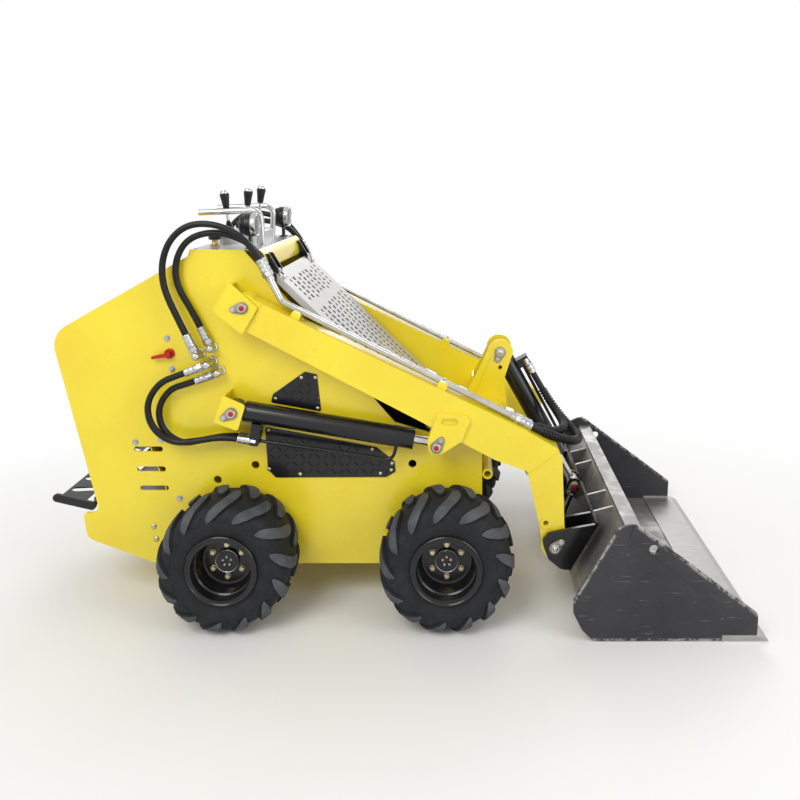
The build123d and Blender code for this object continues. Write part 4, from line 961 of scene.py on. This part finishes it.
HINGE_BOLT_X, HINGE_BOLT_Z = -392, 1140.2
HINGE_BOLTS_Y = [-264, -236, 236, 264]
hinge_bolts = at_places(
    hex_bolt(10, 5, 8), [(HINGE_BOLT_X, y, HINGE_BOLT_Z, HOOD_NORMAL, 0) for y in HINGE_BOLTS_Y]
)
finished(hinge_bolts, "hood_hinge_bolts", ZINC, "hood")

# Wear strips along the front slope of the bucket's sides, bored where the side plates are
STRIP = [(765, 392), (1158, 96), (1122, 62), (748, 342)]
BUCKET_SIDE_Y = 540
SIDE_HOLE_X, SIDE_HOLE_Z, SIDE_HOLE_RADIUS = 827, 309, 15
strip = moved(plate(STRIP, 2.2, 0.8), (0, -BUCKET_SIDE_Y, 0))
drill = turned([(SIDE_HOLE_RADIUS, -8), (SIDE_HOLE_RADIUS, 8)], 40)
moved(drill, (SIDE_HOLE_X, -BUCKET_SIDE_Y - 1, SIDE_HOLE_Z), OUT)
bore = strip.modifiers.new("bore", "BOOLEAN")
bore.operation = "DIFFERENCE"
bore.object = drill
apply_all(strip)
smooth(strip)
bpy.data.objects.remove(drill)
finished(on_both_sides(strip), "bucket_wear_strips", BUCKET, "bucket")


def weld_bead(points, thickness):
    """Bead of weld along a line, with the ripples that its pool leaves."""
    steps = []
    for before, here in zip(points, points[1:]):
        run = Vector(here) - Vector(before)
        count = max(2, int(run.length / 4))
        steps += [Vector(before) + run * k / count for k in range(count)]
    curve = bpy.data.curves.new("bead", "CURVE")
    curve.dimensions = "3D"
    curve.bevel_depth = thickness / 2 * MM
    curve.bevel_resolution = 2
    line = curve.splines.new("POLY")
    line.points.add(len(steps) - 1)
    for k, (point, place) in enumerate(zip(line.points, steps)):
        point.co = (*(place * MM), 1)
        point.radius = 1.0 if k % 2 else 0.8
    bead = bpy.data.objects.new("bead", curve)
    scene.collection.objects.link(bead)
    return as_mesh(bead)


# Weld beads on the arms and the tower: distance from the middle, thickness, X and Z of the points
BEADS = [
    (ARM_FACE, 5, [(446, 497), (545, 574)]),
    (ARM_FACE, 4, [(-440, 1066), (-462, 1028), (-462, 1000)]),
    (ARM_FACE, 5, [(104, 600), (139, 704), (239, 691), (219, 606)]),
    (50, 4, [(290, 640), (262, 655), (330, 815)]),
]
beads = [weld_bead([(x, -out, z) for x, z in line], thickness) for out, thickness, line in BEADS]
finished(on_both_sides(joined(beads)), "arm_weld_beads", YELLOW, "lift_arms")


# Camera, light and floor

camera_data = bpy.data.cameras.new("camera")
camera_data.lens = 34.77
camera_data.sensor_width = 36
camera_data.shift_x = -0.0748
camera_data.shift_y = -0.2005
camera = bpy.data.objects.new("camera", camera_data)
camera.location = (0.212, -2.894, 1.500)
camera.rotation_euler = (radians(85), 0, 0)
scene.collection.objects.link(camera)
scene.camera = camera
scene.view_settings.view_transform = "Standard"


def soft_lamp(name, location, target, size, watts):
    """A large soft lamp that faces a point."""
    data = bpy.data.lights.new(name, "AREA")
    data.energy = watts
    data.size = size
    lamp = bpy.data.objects.new(name, data)
    lamp.location = location
    lamp.rotation_euler = (Vector(target) - Vector(location)).to_track_quat("-Z", "Y").to_euler()
    scene.collection.objects.link(lamp)


soft_lamp("key_lamp", (-2.2, -4.2, 4.6), (0, 0, 0.6), 3.0, 178)
soft_lamp("fill_lamp", (4.5, -3.0, 2.6), (0.3, 0, 0.5), 3.0, 90)
soft_lamp("back_lamp", (0.5, 4.5, 3.8), (0, 0, 0.7), 3.0, 110)

world = bpy.data.worlds.new("studio")
scene.world = world
world.use_nodes = True
sky = world.node_tree
sky.nodes.clear()
rays = put(sky, "ShaderNodeLightPath").outputs
seen = larger(sky, larger(sky, rays["Is Camera Ray"], rays["Is Glossy Ray"]), rays["Is Transmission Ray"])
plain = put(sky, "ShaderNodeBackground", {"Color": linear("#FFFFFF"), "Strength": 0.55})
white = put(sky, "ShaderNodeBackground", {"Color": linear("#FFFFFF"), "Strength": 1.0})
blend = put(sky, "ShaderNodeMixShader", {0: seen, 1: plain.outputs[0], 2: white.outputs[0]})
put(sky, "ShaderNodeOutputWorld", {"Surface": blend.outputs[0]})


def studio_floor():
    """Plain pale floor under the machine that fades into the white background all round it."""
    material, tree, place = new_material("pale_floor")
    colour = mix(tree, noise(tree, place, 400, 3), linear("#E9E8E5"), linear("#EFEEEB"))
    shader = put(tree, "ShaderNodeBsdfPrincipled", {"Base Color": colour, "Roughness": 0.75})
    glow = put(tree, "ShaderNodeEmission", {"Color": linear("#FFFFFF"), "Strength": 1.0})
    flat = put(
        tree, "ShaderNodeVectorMath", {0: place, 1: (0.72, 1.0, 0.0)}, operation="MULTIPLY"
    ).outputs["Vector"]
    away = put(tree, "ShaderNodeVectorMath", {0: flat}, operation="LENGTH").outputs["Value"]
    rays = put(tree, "ShaderNodeLightPath").outputs
    seen = larger(
        tree, larger(tree, rays["Is Camera Ray"], rays["Is Glossy Ray"]), rays["Is Transmission Ray"]
    )
    fade = multiply(tree, seen, span(tree, away, 0.75, 1.9))
    both = put(
        tree, "ShaderNodeMixShader", {0: fade, 1: shader.outputs["BSDF"], 2: glow.outputs["Emission"]}
    )
    put(tree, "ShaderNodeOutputMaterial", {"Surface": both.outputs[0]})
    bpy.ops.mesh.primitive_plane_add(size=60)
    floor = bpy.context.object
    floor.name = "studio_floor"
    floor.data.materials.append(material)


studio_floor()
